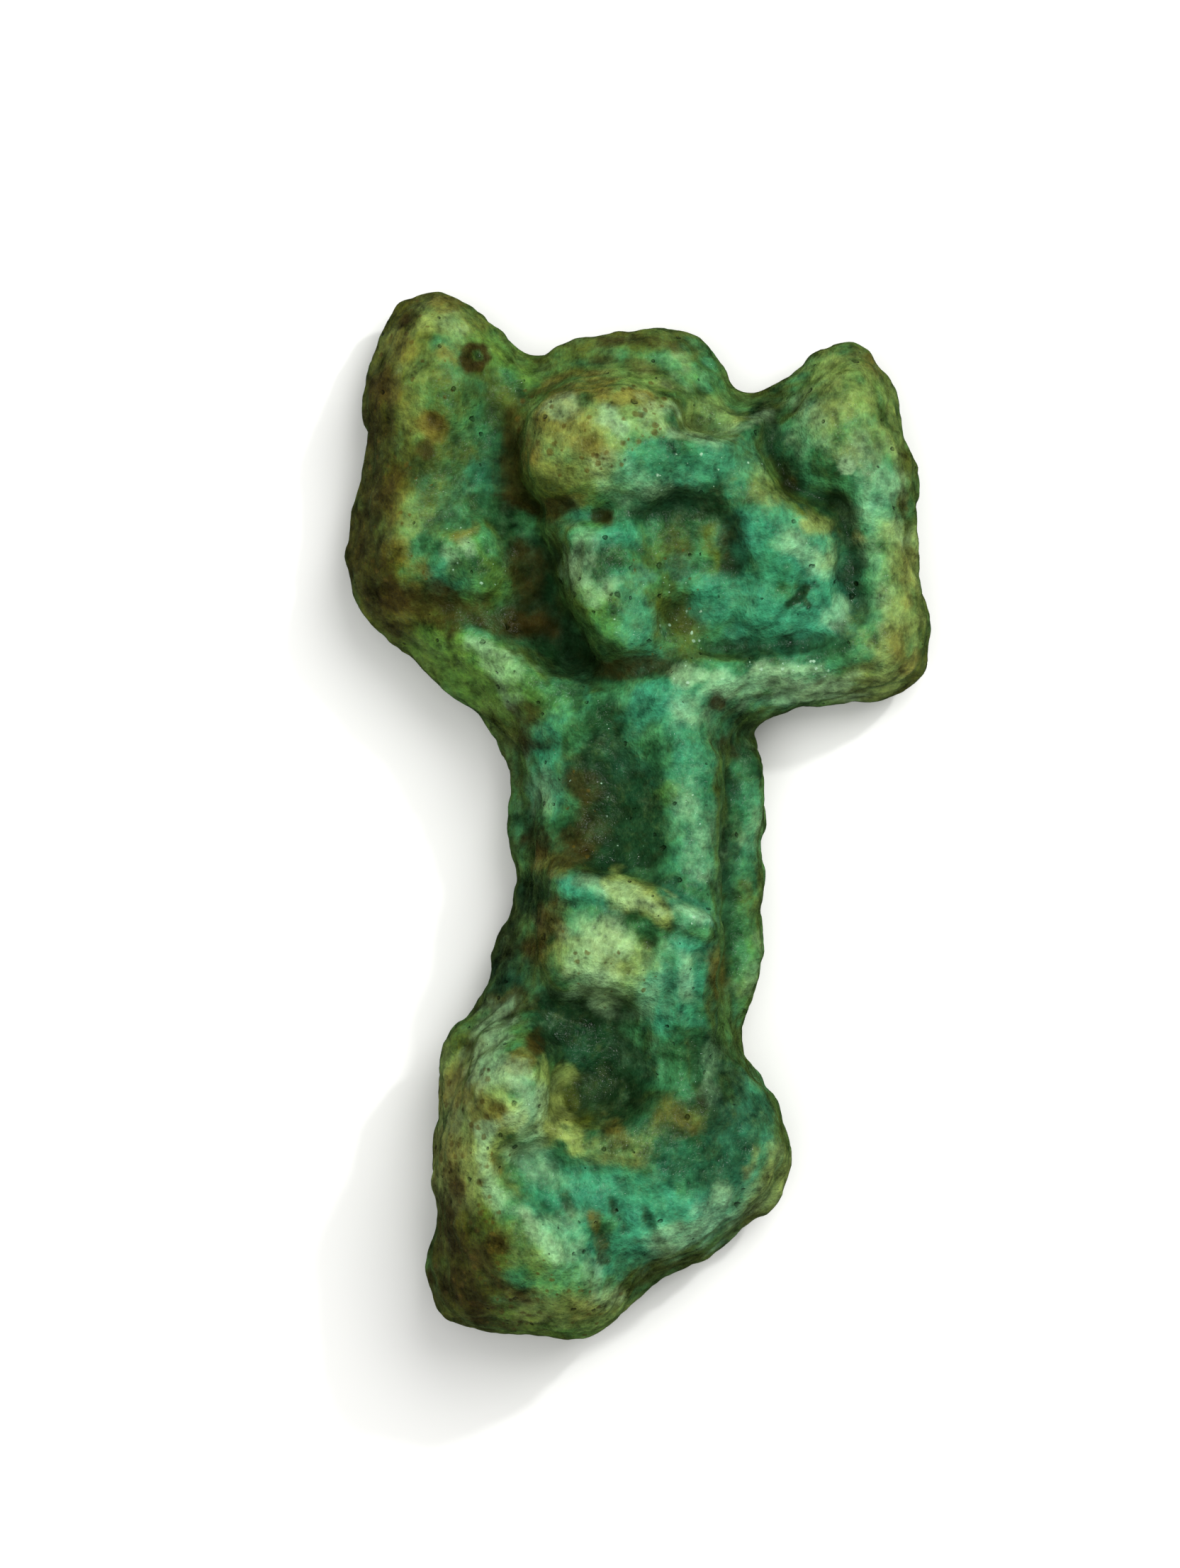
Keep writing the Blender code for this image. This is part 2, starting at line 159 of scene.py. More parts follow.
# Fine carving: path, half width fully covered, fade beyond it, change in height, all in mm
carving = {
    "upper belt line": ([(-2.05, -1.4), (-0.8, -1.45), (0.4, -1.95), (1.85, -2.55)], 0.03, 0.3, -0.07),
    "lower belt line": ([(-2.05, -2.45), (-1.2, -2.5), (-0.4, -2.8), (1.6, -3.55)], 0.02, 0.16, -0.14),
    "belt swell": ([(-2.4, -1.9), (-0.6, -2.1), (0.5, -2.5), (2.1, -3.2)], 0.22, 0.35, 0.14),
    "kilt front lower edge": ([(-2.3, -5.4), (0.0, -5.4)], 0.05, 0.6, -0.15),
    "first pleat": ([(0.25, -3.4), (0.3, -5.2), (0.1, -6.6)], 0.02, 0.3, -0.17),
    "second pleat": ([(0.9, -3.9), (0.85, -5.4)], 0.02, 0.2, -0.1),
    "third pleat": ([(1.65, -4.0), (1.5, -6.0), (1.6, -7.6)], 0.02, 0.27, -0.2),
    "pleat ridge": ([(1.15, -3.9), (1.05, -5.6), (1.1, -7.4)], 0.05, 0.3, 0.14),
    "side fold": ([(2.2, -3.8), (2.1, -5.6)], 0.03, 0.25, -0.12),
    "line under the crown": ([(-3.3, 9.0), (-2.4, 8.5), (-1.1, 8.35)], 0.04, 0.25, -0.2),
    "crown dent": ([(-1.6, 11.6), (0.2, 11.6)], 0.1, 0.4, -0.08),
    "disc ring": ([(-2.9, 12.2), (-1.6, 12.9), (0.6, 12.85)], 0.04, 0.3, -0.1),
    "inner disc ring": ([(-2.2, 11.9), (-1.0, 12.4), (0.4, 12.4)], 0.04, 0.25, -0.06),
    "ridge under the facet": ([(1.1, 10.75), (2.2, 10.4), (3.0, 10.75), (3.7, 11.4)], 0.05, 0.35, 0.06),
    "brow ridge": ([(-2.0, 7.95), (-1.1, 8.1), (-0.1, 7.95)], 0.05, 0.3, 0.1),
    "nose": ([(-1.35, 7.7), (-1.5, 6.5)], 0.1, 0.35, 0.2),
    "nose wings": ([(-1.75, 6.4), (-1.2, 6.4)], 0.05, 0.25, 0.1),
    "near eye socket": ([(-0.85, 7.45), (-0.2, 7.4)], 0.08, 0.3, -0.16),
    "near eye lid": ([(-0.8, 7.4), (-0.3, 7.36)], 0.05, 0.16, 0.1),
    "far eye socket": ([(-2.15, 7.4), (-1.85, 7.4)], 0.08, 0.28, -0.14),
    "far eye lid": ([(-2.1, 7.37), (-1.9, 7.37)], 0.05, 0.15, 0.08),
    "line of the lips": ([(-1.85, 5.75), (-1.1, 5.7)], 0.02, 0.15, -0.11),
    "upper lip": ([(-1.75, 5.95), (-1.15, 5.9)], 0.05, 0.18, 0.08),
    "lower lip": ([(-1.65, 5.55), (-1.15, 5.5)], 0.05, 0.18, 0.08),
    "chin": ([(-1.2, 4.95), (-0.8, 4.85)], 0.1, 0.45, 0.12),
    "curve of the ear": ([(0.1, 8.5), (1.0, 8.9), (2.0, 8.7), (2.6, 8.1), (2.7, 7.0)], 0.06, 0.4, -0.08),
    "lobe of the ear": ([(1.0, 6.3), (1.7, 6.5)], 0.1, 0.4, 0.14),
    "lappet crease": ([(3.9, 5.4), (4.5, 6.2), (4.75, 6.9)], 0.02, 0.18, -0.14),
    "lappet fold": ([(2.6, 8.2), (3.1, 6.6), (2.7, 5.4)], 0.05, 0.4, -0.12),
    "left lappet roll": ([(-5.6, 7.9), (-4.9, 7.4), (-4.4, 6.5)], 0.1, 0.35, 0.16),
    "left lappet crease": ([(-5.3, 7.1), (-4.9, 6.3)], 0.05, 0.25, -0.14),
    "groove in the right hand": ([(4.0, 11.9), (3.7, 10.4), (4.3, 9.35), (5.5, 8.9)], 0.05, 0.3, -0.28),
    "groove inside the right arm": ([(5.75, 8.7), (6.0, 7.7), (6.3, 5.9)], 0.05, 0.35, -0.12),
    "groove over the right arm": ([(5.2, 4.95), (3.6, 4.75), (2.0, 4.6)], 0.05, 0.25, -0.2),
    "toe mark at the left": ([(-2.3, -10.6), (-1.9, -11.3)], 0.02, 0.16, -0.1),
    "long toe mark": ([(-1.2, -11.3), (-0.9, -12.5)], 0.03, 0.17, -0.17),
    "middle toe mark": ([(-0.7, -11.0), (-0.3, -11.7)], 0.03, 0.15, -0.16),
    "short toe mark": ([(0.2, -11.3), (0.6, -12.1)], 0.03, 0.14, -0.14),
    "knee edge": ([(-2.75, -7.1), (-2.7, -8.3), (-3.6, -9.5), (-4.3, -10.1)], 0.05, 0.35, 0.14),
    "shin edge": ([(-4.3, -10.2), (-3.6, -11.0), (-2.8, -11.5), (-2.3, -12.6)], 0.05, 0.4, 0.14),
    "yellow ridge": ([(-2.5, -7.7), (-2.35, -8.9), (-1.7, -9.4), (0.2, -9.7)], 0.05, 0.4, 0.12),
    "chest scratch": ([(-1.0, 0.8), (-0.2, 0.0)], 0.0, 0.08, -0.06),
    "side of the torso": ([(2.4, 1.2), (2.3, -1.8)], 0.05, 0.3, -0.1),
}

# Blisters and pits left by the firing: place, radius and depth in mm, a negative depth stands up
pits = {
    "hand pit": ((-6.6, 14.25), 0.3, 0.16),
    "blister rim": ((-4.68, 13.0), 0.55, -0.2),
    "blister mouth": ((-4.68, 13.0), 0.38, 0.36),
    "red pit": ((-5.8, 11.25), 0.34, 0.14),
    "crown pit": ((-1.05, 8.45), 0.38, 0.22),
    "lappet pit": ((4.55, 6.3), 0.32, 0.28),
    "left lappet pit": ((-5.2, 7.0), 0.22, 0.16),
    "lower left pit": ((-3.9, 6.65), 0.22, 0.16),
    "arm pit": ((2.25, 3.15), 0.26, 0.18),
    "waist hole": ((-2.75, -2.3), 0.42, 0.35),
    "foot ring": ((-2.3, -12.75), 0.36, -0.05),
    "foot ring mouth": ((-2.3, -12.75), 0.24, 0.14),
    "foot pit": ((-3.85, -12.1), 0.2, 0.16),
    "kilt pit": ((0.1, -4.8), 0.2, 0.1),
}

# Worn unevenness of the whole skin: size of the bumps and how far they stand, in mm
unevenness = [(2.6, 0.16), (1.3, 0.14), (0.6, 0.09), (0.3, 0.045)]
seedStep = (17.3, 5.1, 9.7)  # each seed reads the noise this much further on


def meshArray(items, attribute, width):
    flat = np.empty(len(items) * width)
    items.foreach_get(attribute, flat)
    return flat.reshape(-1, width)


def edgePairs(mesh):
    flat = np.empty(len(mesh.edges) * 2, dtype=np.int64)
    mesh.edges.foreach_get("vertices", flat)
    return flat.reshape(-1, 2)


def placeVertices(mesh, spots):
    mesh.vertices.foreach_set("co", (spots * mm).ravel())
    mesh.update()


# Each vertex's place moved toward the mean of its neighbours', several times over
def spread(spots, edges, passes, share=1.0):
    count = len(spots)
    neighbours = np.bincount(edges.ravel(), minlength=count)[:, None]
    for _ in range(passes):
        total = np.empty_like(spots)
        for axis in range(3):
            total[:, axis] = np.bincount(edges[:, 0], spots[edges[:, 1], axis], count)
            total[:, axis] += np.bincount(edges[:, 1], spots[edges[:, 0], axis], count)
        spots = spots + share * (total / neighbours - spots)
    return spots


# Distance across and up from each spot to a path of straight runs, or to a single point
def nearestOnPath(path, spots):
    x, y = spots[:, 0], spots[:, 1]
    nearest = np.full(len(x), np.inf)
    ends = path[1:] if len(path) > 1 else path
    for (x1, y1), (x2, y2) in zip(path, ends):
        runX = x2 - x1
        runY = y2 - y1
        squared = max(runX * runX + runY * runY, 1e-12)  # a single point has no length
        share = np.clip(((x - x1) * runX + (y - y1) * runY) / squared, 0, 1)
        nearest = np.minimum(nearest, np.hypot(x - x1 - share * runX, y - y1 - share * runY))
    return nearest


# Goes softly from 0 where the values reach the first limit to 1 where they reach the second
def ease(values, zeroAt, oneAt):
    share = np.clip((values - zeroAt) / (oneAt - zeroAt), 0, 1)
    return share * share * (3 - 2 * share)


def bumpsAt(spots, size, seed):
    shift = Vector([seed * step for step in seedStep])
    return np.array([noise.noise(Vector(spot) / size + shift) for spot in spots])


# The solid's surface in small even faces
def evenSkin(node):
    copy = bpy.data.objects.new("solid copy", node.data.copy())
    bpy.context.scene.collection.objects.link(copy)
    remesh = copy.modifiers.new("even faces", "REMESH")
    remesh.mode = "VOXEL"
    remesh.voxel_size = surface["voxel"]
    bpy.context.view_layer.update()
    remeshed = copy.evaluated_get(bpy.context.evaluated_depsgraph_get())
    mesh = bpy.data.meshes.new_from_object(remeshed)
    bpy.data.objects.remove(copy)
    return mesh


def carvedSkin(mesh, edges):
    spots = spread(meshArray(mesh.vertices, "co", 3) / mm, edges, *surface["facetSmoothing"])
    front = ease(spots[:, 2], *surface["frontHeights"])
    for path, core, fade, change in carving.values():
        spots[:, 2] += change * ease(nearestOnPath(path, spots), core + fade, core) * front
    for place, radius, depth in pits.values():
        spots[:, 2] -= depth * ease(nearestOnPath([place], spots), radius, 0) * front
    placeVertices(mesh, spots)
    normals = meshArray(mesh.vertices, "normal", 3)
    standing = ease(spots[:, 2], *surface["backHeights"])
    for number, (size, height) in enumerate(unevenness):
        swell = bumpsAt(spots, size, number + 1) * height * standing
        spots = spots + normals * swell[:, None]
    spots = spread(spots, edges, *surface["finalSmoothing"])
    placeVertices(mesh, spots)
    return spots


# Colour strokes on the glaze, by the name of what they are: path, core, fade and strength.
# Turquoise is where the glaze survives; leaf, olive and straw are where it has weathered. The pale
# strokes are rubbed high ground and painted highlights on lit ridges; the deep ones are glaze pooled
# in hollows and painted shade in grooves and under overhangs; ochre is iron stain; the brown ones are
# iron stain and dirt with painted shade on left-facing sides and under the chin and crown; the glint
# strokes mark where painted glints lie, and freckled has freckles of iron.
strokes = {
    # Glaze pooled in hollows, and painted shade in grooves, under the arm, left of the face and between
    # the legs
    "deepGlazeAndShade": [
        ([(-2.8, 7.3), (-2.7, 5.9), (-2.0, 4.8), (-1.4, 4.2)], 0.45, 0.6, 0.9),
        ([(-4.0, 10.9), (-3.8, 9.3), (-3.5, 7.5)], 0.2, 0.6, 0.7),
        ([(-6.0, 9.9), (-5.1, 9.8)], 0.1, 0.5, 0.5),
        ([(-1.1, 1.2), (-0.7, 0.0), (-1.0, -1.1), (0.1, -0.4)], 0.45, 0.7, 1.2),
        ([(0.5, 1.8), (0.7, -0.7)], 0.1, 0.5, 0.6),
        ([(0.7, -1.8), (2.2, -2.2)], 0.08, 0.35, 0.6),
        ([(-2.9, -2.2), (-3.1, -2.4)], 0.3, 0.4, 1.0),
        ([(-2.3, -5.9), (-1.2, -6.2), (-0.5, -7.2), (-0.7, -8.2)], 0.5, 0.6, 1.3),
        ([(-2.7, -5.9), (-2.3, -6.9)], 0.25, 0.4, 1.2),
        ([(5.8, 4.9), (4.1, 4.8), (2.9, 4.4)], 0.1, 0.35, 0.8),
        ([(5.7, 8.9), (5.9, 8.2), (6.1, 7.1), (6.3, 5.6)], 0.15, 0.4, 0.9),
        ([(3.5, 11.4), (4.0, 10.2), (4.8, 9.1), (5.6, 8.4)], 0.14, 0.35, 1.1),
        ([(0.1, 8.5), (1.0, 8.9), (2.0, 8.7), (2.6, 8.1), (2.6, 7.1)], 0.16, 0.4, 0.95),
        ([(2.0, 5.3), (2.8, 5.0)], 0.08, 0.4, 0.4),
        ([(4.2, 5.9), (4.5, 6.1), (4.7, 6.4), (4.6, 6.1), (4.8, 5.9)], 0.03, 0.13, 1.3),
        # Painted shadow under the right arm, on the back pillar
        ([(2.9, 2.4), (3.1, 1.6)], 0.25, 0.5, 0.9),
        ([(2.5, 1.2), (2.5, -2.1)], 0.08, 0.35, 0.8),
        ([(0.1, -8.4), (1.2, -9.6), (2.2, -9.0), (2.0, -10.2), (3.0, -8.6)], 0.35, 0.7, 0.75),
        ([(2.2, -6.9), (2.4, -8.6)], 0.3, 0.7, 1.0),
        ([(1.2, -8.1), (1.7, -8.2)], 0.05, 0.25, 0.8),
        ([(0.2, -11.2), (0.6, -12.1)], 0.02, 0.15, 0.8),
        ([(-2.1, -10.7), (-1.9, -11.2)], 0.02, 0.14, 0.7),
        ([(-1.4, -11.0), (-1.3, -11.6)], 0.02, 0.13, 0.6),
        ([(-0.8, -10.8), (-0.6, -11.3)], 0.02, 0.13, 0.7),
        ([(0.9, -11.0), (1.2, -11.6)], 0.02, 0.16, 0.6),
        ([(-2.4, -11.8), (-2.3, -12.1)], 0.02, 0.14, 0.5),
        ([(2.8, -11.2), (3.2, -10.4)], 0.02, 0.2, 0.4),
        ([(-4.0, -3.7), (-4.1, -5.1)], 0.1, 0.5, 0.6),
        ([(2.1, -3.3), (2.2, -5.5)], 0.1, 0.35, 0.6),
        ([(-3.3, -0.2), (-2.9, -0.9)], 0.2, 0.4, 0.8),
        ([(-0.6, 2.8), (-1.0, 1.6)], 0.25, 0.7, 0.7),
        ([(-3.8, -2.9), (-3.8, -5.5)], 0.2, 0.6, 1.0),
        ([(-5.3, 10.7), (-5.1, 8.7)], 0.1, 0.6, 0.4),
        ([(-5.3, 6.8), (-4.7, 7.0)], 0.1, 0.5, 0.6),
        ([(-4.2, 12.2), (-4.0, 11.1)], 0.15, 0.6, 0.55),
        ([(-6.5, 5.4), (-5.7, 4.9)], 0.1, 0.6, 0.4),
        ([(-3.0, 3.2), (-2.8, 2.4)], 0.2, 0.5, 0.6),
        ([(-1.6, 0.0), (-1.7, -1.1)], 0.2, 0.6, 0.6),
        ([(-0.2, -5.9), (-0.1, -7.2)], 0.1, 0.4, 0.5),
    ],
    "turquoise": [
        ([(0.3, 9.6), (0.8, 9.9), (2.8, 10.0)], 0.35, 0.7, 0.6),
        ([(1.2, 9.3), (2.8, 9.3)], 0.2, 0.5, 0.6),
        ([(3.0, 7.8), (4.1, 7.6), (5.4, 7.1), (5.3, 5.9)], 0.55, 0.6, 0.9),
        ([(2.4, 6.1), (3.2, 6.1), (3.2, 5.4), (4.5, 5.3)], 0.4, 0.6, 1.0),
        ([(-0.8, 7.9), (-0.3, 7.8)], 0.2, 0.4, 0.8),
        ([(1.0, 7.0), (1.3, 6.8)], 0.12, 0.35, 0.6),
        ([(-0.1, 6.5), (0.1, 4.5)], 0.2, 0.5, 0.6),
        ([(-1.7, 8.4), (-1.2, 8.4)], 0.1, 0.3, 0.6),
        ([(-5.3, 7.1), (-5.0, 6.8)], 0.25, 0.5, 0.6),
        ([(-4.4, 9.5), (-4.3, 9.3)], 0.2, 0.5, 0.5),
        ([(-5.3, 8.7), (-5.5, 7.9)], 0.2, 0.6, 0.3),
        ([(6.4, 9.5), (6.9, 8.3)], 0.35, 0.6, 0.45),
        ([(1.2, 3.5), (5.1, 3.7)], 0.3, 0.5, 0.5),
        ([(0.5, 3.3), (0.1, 2.9)], 0.4, 0.4, 0.95),
        ([(-0.3, 1.4), (0.0, 0.8)], 0.2, 0.5, 0.5),
        ([(1.2, 2.8), (2.0, 2.4), (1.4, 1.4)], 0.4, 0.6, 0.6),
        ([(-1.9, 4.0), (-1.8, 3.3)], 0.2, 0.4, 0.6),
        ([(-2.8, 2.6), (-2.6, 1.4), (-2.7, 0.2)], 0.25, 0.45, 0.7),
        ([(1.5, 1.0), (1.6, -1.5)], 0.4, 0.5, 0.5),
        ([(3.2, 0.6), (3.2, -1.5)], 0.22, 0.4, 0.35),
        ([(-1.9, -2.0), (-0.9, -2.3)], 0.2, 0.35, 1.0),
        ([(0.9, -2.3), (1.7, -2.9)], 0.25, 0.35, 1.0),
        ([(1.4, -3.7), (1.5, -5.7)], 0.15, 0.4, 0.9),
        ([(0.6, -4.7), (0.5, -5.9)], 0.2, 0.5, 0.8),
        ([(-3.8, -4.7), (-4.1, -5.1)], 0.15, 0.4, 0.4),
        ([(-3.3, -9.6), (-2.5, -10.0)], 0.3, 0.5, 0.7),
        ([(-2.7, -10.8), (-2.0, -11.0), (-2.2, -12.0)], 0.3, 0.5, 0.85),
        ([(-1.8, -10.5), (-0.4, -10.6), (0.0, -11.8), (-0.8, -12.4)], 0.45, 0.5, 0.9),
        ([(0.4, -10.8), (1.2, -11.6), (2.2, -11.2)], 0.35, 0.6, 0.9),
        ([(0.8, -10.0), (2.0, -9.8), (3.2, -8.4)], 0.3, 0.6, 0.7),
        ([(3.0, -9.0), (3.2, -9.4), (2.2, -10.8)], 0.35, 0.6, 0.9),
        ([(3.2, -8.0), (3.5, -7.4)], 0.2, 0.5, 0.6),
        ([(-2.9, -7.6), (-3.0, -8.6)], 0.15, 0.4, 0.5),
    ],
    "leaf": [
        ([(-5.7, 4.7), (-4.5, 4.0), (-3.4, 3.3)], 0.45, 0.7, 0.85),
        ([(-2.0, 3.8), (-1.8, 3.2)], 0.1, 0.3, 0.6),
        ([(-4.5, 13.6), (-3.4, 12.7)], 0.3, 0.5, 0.6),
        ([(-4.9, 7.5), (-4.1, 6.5), (-4.5, 5.9)], 0.3, 0.5, 0.55),
        ([(-1.0, 12.2), (0.6, 12.2)], 0.3, 0.6, 0.5),
        ([(-2.9, 11.9), (-2.0, 12.0)], 0.05, 0.3, 0.5),
        ([(-1.6, 6.1), (-1.0, 5.0)], 0.3, 0.5, 0.5),
        ([(0.8, 0.6), (0.7, 0.4)], 0.1, 0.3, 0.7),
        ([(-0.2, -3.5), (0.0, -4.1)], 0.1, 0.4, 0.4),
        ([(-4.1, -11.8), (-2.9, -12.6)], 0.4, 0.7, 0.35),
        ([(-3.7, -14.5), (-1.4, -14.6)], 0.3, 0.6, 0.6),
        ([(3.2, -3.9), (3.4, -5.1)], 0.2, 0.5, 0.4),
        ([(-2.7, 0.0), (-2.8, -0.2)], 0.1, 0.3, 0.5),
        ([(5.3, 12.8), (6.7, 11.9)], 0.3, 0.6, 0.4),
    ],
    "olive": [
        ([(-6.3, 14.7), (-7.3, 12.8), (-7.6, 10.7), (-7.8, 8.1), (-7.5, 6.1), (-6.5, 4.9)],
         0.6, 0.9, 0.95),
        ([(-5.3, 14.7), (-4.1, 13.7)], 0.3, 0.6, 0.7),
        ([(-6.7, 13.8), (-6.1, 11.9), (-6.3, 10.3)], 0.5, 0.8, 0.7),
        ([(-2.9, 12.7), (-1.0, 13.5), (0.8, 13.6)], 0.2, 0.5, 0.7),
        ([(-3.2, 11.1), (-3.3, 9.3), (-2.2, 9.1)], 0.35, 0.5, 0.7),
        ([(3.4, 9.3), (4.3, 8.7), (5.5, 7.7)], 0.3, 0.5, 0.6),
        ([(0.8, 7.5), (0.4, 6.3), (1.2, 5.0)], 0.4, 0.5, 0.6),
        ([(2.1, 7.9), (2.3, 7.1)], 0.2, 0.4, 0.9),
        ([(-3.2, 10.3), (-2.8, 9.5), (-1.6, 9.2)], 0.25, 0.5, 0.8),
        ([(-5.3, 11.9), (-5.1, 10.3), (-5.8, 8.7)], 0.3, 0.8, 0.5),
        ([(-0.5, 6.1), (0.0, 5.6)], 0.2, 0.4, 0.5),
        ([(6.4, 13.2), (7.3, 11.9), (7.9, 9.5)], 0.15, 0.45, 0.6),
        ([(-6.3, 5.3), (-5.6, 4.6)], 0.3, 0.6, 0.8),
        ([(-4.2, 12.4), (-4.0, 11.4)], 0.25, 0.6, 0.8),
        ([(-6.9, 13.4), (-6.3, 13.8)], 0.3, 0.6, 0.6),
        ([(7.9, 7.1), (8.1, 4.6), (7.7, 3.6), (6.1, 3.5)], 0.2, 0.5, 0.7),
        ([(-6.1, 5.0), (-4.9, 3.8), (-3.7, 1.8)], 0.1, 0.5, 0.6),
        ([(-5.1, -6.5), (-5.6, -8.4), (-5.7, -10.4), (-5.3, -11.2)], 0.3, 0.6, 0.7),
        ([(-5.1, -11.6), (-4.7, -12.8), (-4.9, -14.3), (-3.7, -14.7)], 0.6, 0.8, 1.0),
        ([(-2.0, 1.4), (-1.4, 0.8)], 0.2, 0.5, 0.5),
        ([(-3.4, -2.9), (-4.1, -4.3), (-4.7, -5.7)], 0.2, 0.5, 0.6),
        ([(-2.1, -8.1), (-1.4, -8.4)], 0.3, 0.4, 0.8),
        ([(0.9, -8.4), (1.7, -8.6)], 0.2, 0.4, 0.7),
        ([(4.2, -9.2), (4.1, -10.8), (2.8, -12.0)], 0.2, 0.5, 0.6),
        ([(3.0, -2.1), (3.3, -2.5)], 0.1, 0.3, 0.6),
        ([(-0.8, 12.9), (0.6, 12.6)], 0.05, 0.3, 0.6),
    ],
    "straw": [
        ([(-5.9, 14.2), (-5.4, 13.9)], 0.2, 0.5, 0.8),
        ([(-6.9, 13.4), (-5.9, 13.1)], 0.2, 0.6, 0.4),
        ([(-6.6, 11.8), (-6.5, 11.4)], 0.15, 0.5, 0.5),
        ([(-6.4, 12.6), (-6.3, 12.5)], 0.1, 0.3, 0.6),
        ([(-6.6, 8.4), (-6.5, 8.2)], 0.2, 0.5, 0.5),
        ([(-2.5, 11.0), (-1.4, 10.8), (0.0, 11.5)], 0.45, 0.6, 0.8),
        ([(-2.4, 10.0), (-1.4, 9.8)], 0.3, 0.6, 0.6),
        ([(-0.8, 12.5), (0.2, 12.1)], 0.2, 0.5, 0.5),
        ([(1.7, 11.2), (2.3, 11.3)], 0.3, 0.35, 0.7),
        ([(5.5, 12.6), (6.5, 11.9), (5.7, 11.3)], 0.35, 0.6, 0.65),
        ([(6.1, 10.9), (6.9, 10.7)], 0.3, 0.6, 0.5),
        ([(5.0, 8.2), (5.1, 8.2)], 0.1, 0.3, 0.9),
        ([(5.5, 7.5), (5.4, 7.3)], 0.1, 0.3, 0.6),
        ([(7.4, 7.7), (7.6, 7.1), (7.4, 5.6), (7.1, 4.2)], 0.3, 0.6, 0.8),
        ([(5.3, 3.5), (6.7, 3.7)], 0.2, 0.5, 0.6),
        ([(3.4, 9.3), (3.6, 9.2)], 0.15, 0.35, 0.6),
        ([(-0.6, -2.1), (-0.1, -2.3), (0.6, -2.7)], 0.22, 0.3, 1.1),
        ([(-2.0, -3.9), (-1.2, -3.6), (-0.6, -4.0)], 0.3, 0.5, 0.8),
        ([(-0.6, -4.7), (-0.3, -4.1)], 0.2, 0.5, 0.6),
        ([(-5.2, -8.0), (-4.2, -8.4), (-4.7, -9.2), (-5.3, -10.2)], 0.5, 0.7, 1.35),
        ([(-4.3, -9.2), (-3.9, -10.2)], 0.3, 0.5, 0.6),
        ([(-2.6, -7.3), (-2.5, -8.4), (-2.3, -8.9), (-1.8, -9.2)], 0.14, 0.35, 1.25),
        ([(-1.1, -9.3), (0.0, -9.5)], 0.15, 0.5, 0.55),
        ([(1.1, -8.7), (1.6, -8.8)], 0.05, 0.3, 0.3),
        ([(6.4, 5.2), (6.9, 4.2)], 0.15, 0.5, 0.35),
        ([(-3.4, -11.7), (-2.7, -12.8), (-1.4, -13.2)], 0.25, 0.5, 0.3),
        ([(-1.6, -14.1), (-1.0, -14.3)], 0.4, 0.6, 0.7),
        ([(-2.9, -13.9), (-2.0, -14.1)], 0.3, 0.6, 0.5),
        ([(4.0, -9.8), (3.6, -11.0)], 0.15, 0.5, 0.7),
    ],
    "ochre": [
        ([(-5.6, 14.6), (-5.2, 14.7)], 0.1, 0.35, 0.8),
        ([(-4.9, 13.9), (-4.5, 14.0)], 0.1, 0.35, 0.5),
        ([(-5.6, 13.2), (-5.4, 13.1)], 0.12, 0.3, 0.8),
        ([(-6.8, 13.4), (-6.5, 13.2)], 0.1, 0.35, 0.6),
        ([(-7.2, 12.1), (-6.9, 11.9)], 0.15, 0.4, 0.8),
        ([(-5.8, 11.2), (-5.7, 11.0)], 0.1, 0.3, 0.8),
        ([(-7.1, 9.3), (-7.2, 8.7)], 0.1, 0.4, 0.6),
        ([(-6.9, 7.5), (-6.3, 7.3)], 0.15, 0.4, 0.8),
        ([(-6.9, 6.0), (-6.7, 5.7)], 0.15, 0.4, 0.7),
        ([(-5.0, 7.9), (-4.6, 8.1)], 0.05, 0.22, 1.0),
        ([(-2.4, 11.9), (-1.6, 12.2), (-1.0, 12.0)], 0.15, 0.35, 0.9),
        ([(-0.6, 11.7), (0.2, 11.7)], 0.1, 0.25, 1.0),
        ([(-2.3, 11.1), (-1.3, 10.6)], 0.25, 0.4, 0.85),
        ([(-3.2, 10.2), (-3.0, 10.1)], 0.1, 0.3, 0.8),
        ([(-1.7, 8.9), (-1.6, 8.9)], 0.1, 0.25, 0.6),
        ([(1.2, 13.3), (1.5, 13.1)], 0.1, 0.3, 0.5),
        ([(6.7, 13.0), (6.9, 12.8)], 0.08, 0.25, 0.8),
        ([(7.5, 8.9), (7.6, 8.7)], 0.08, 0.22, 0.9),
        ([(6.3, 7.9), (6.4, 7.8)], 0.06, 0.2, 0.6),
        ([(7.3, 4.9), (7.5, 4.5)], 0.15, 0.4, 0.7),
        ([(7.7, 7.3), (7.7, 6.1)], 0.08, 0.3, 0.6),
        ([(-1.9, 0.6), (-1.6, -0.9)], 0.1, 0.4, 0.2),
        ([(-2.8, -1.4), (-2.2, -1.5)], 0.1, 0.3, 0.7),
        ([(-2.4, -2.7), (-2.9, -3.9)], 0.12, 0.4, 0.7),
        ([(-4.1, -5.5), (-3.3, -5.3)], 0.1, 0.4, 0.5),
        ([(2.3, -4.1), (2.2, -4.9)], 0.06, 0.25, 0.6),
        ([(-3.4, -6.8), (-3.3, -6.9)], 0.16, 0.25, 1.0),
        ([(-5.1, -7.7), (-4.2, -8.4)], 0.25, 0.4, 0.95),
        ([(-5.1, -9.0), (-5.5, -10.0)], 0.2, 0.5, 0.9),
        ([(-5.5, -8.1), (-4.7, -7.7)], 0.18, 0.45, 0.9),
        ([(-4.1, -9.7), (-4.0, -10.0)], 0.06, 0.25, 0.8),
        ([(-0.7, -9.0), (-0.6, -9.1)], 0.1, 0.3, 0.7),
        ([(-1.0, -9.7), (-0.2, -9.8)], 0.06, 0.3, 0.5),
        ([(0.8, -8.4), (1.5, -8.8)], 0.05, 0.35, 0.45),
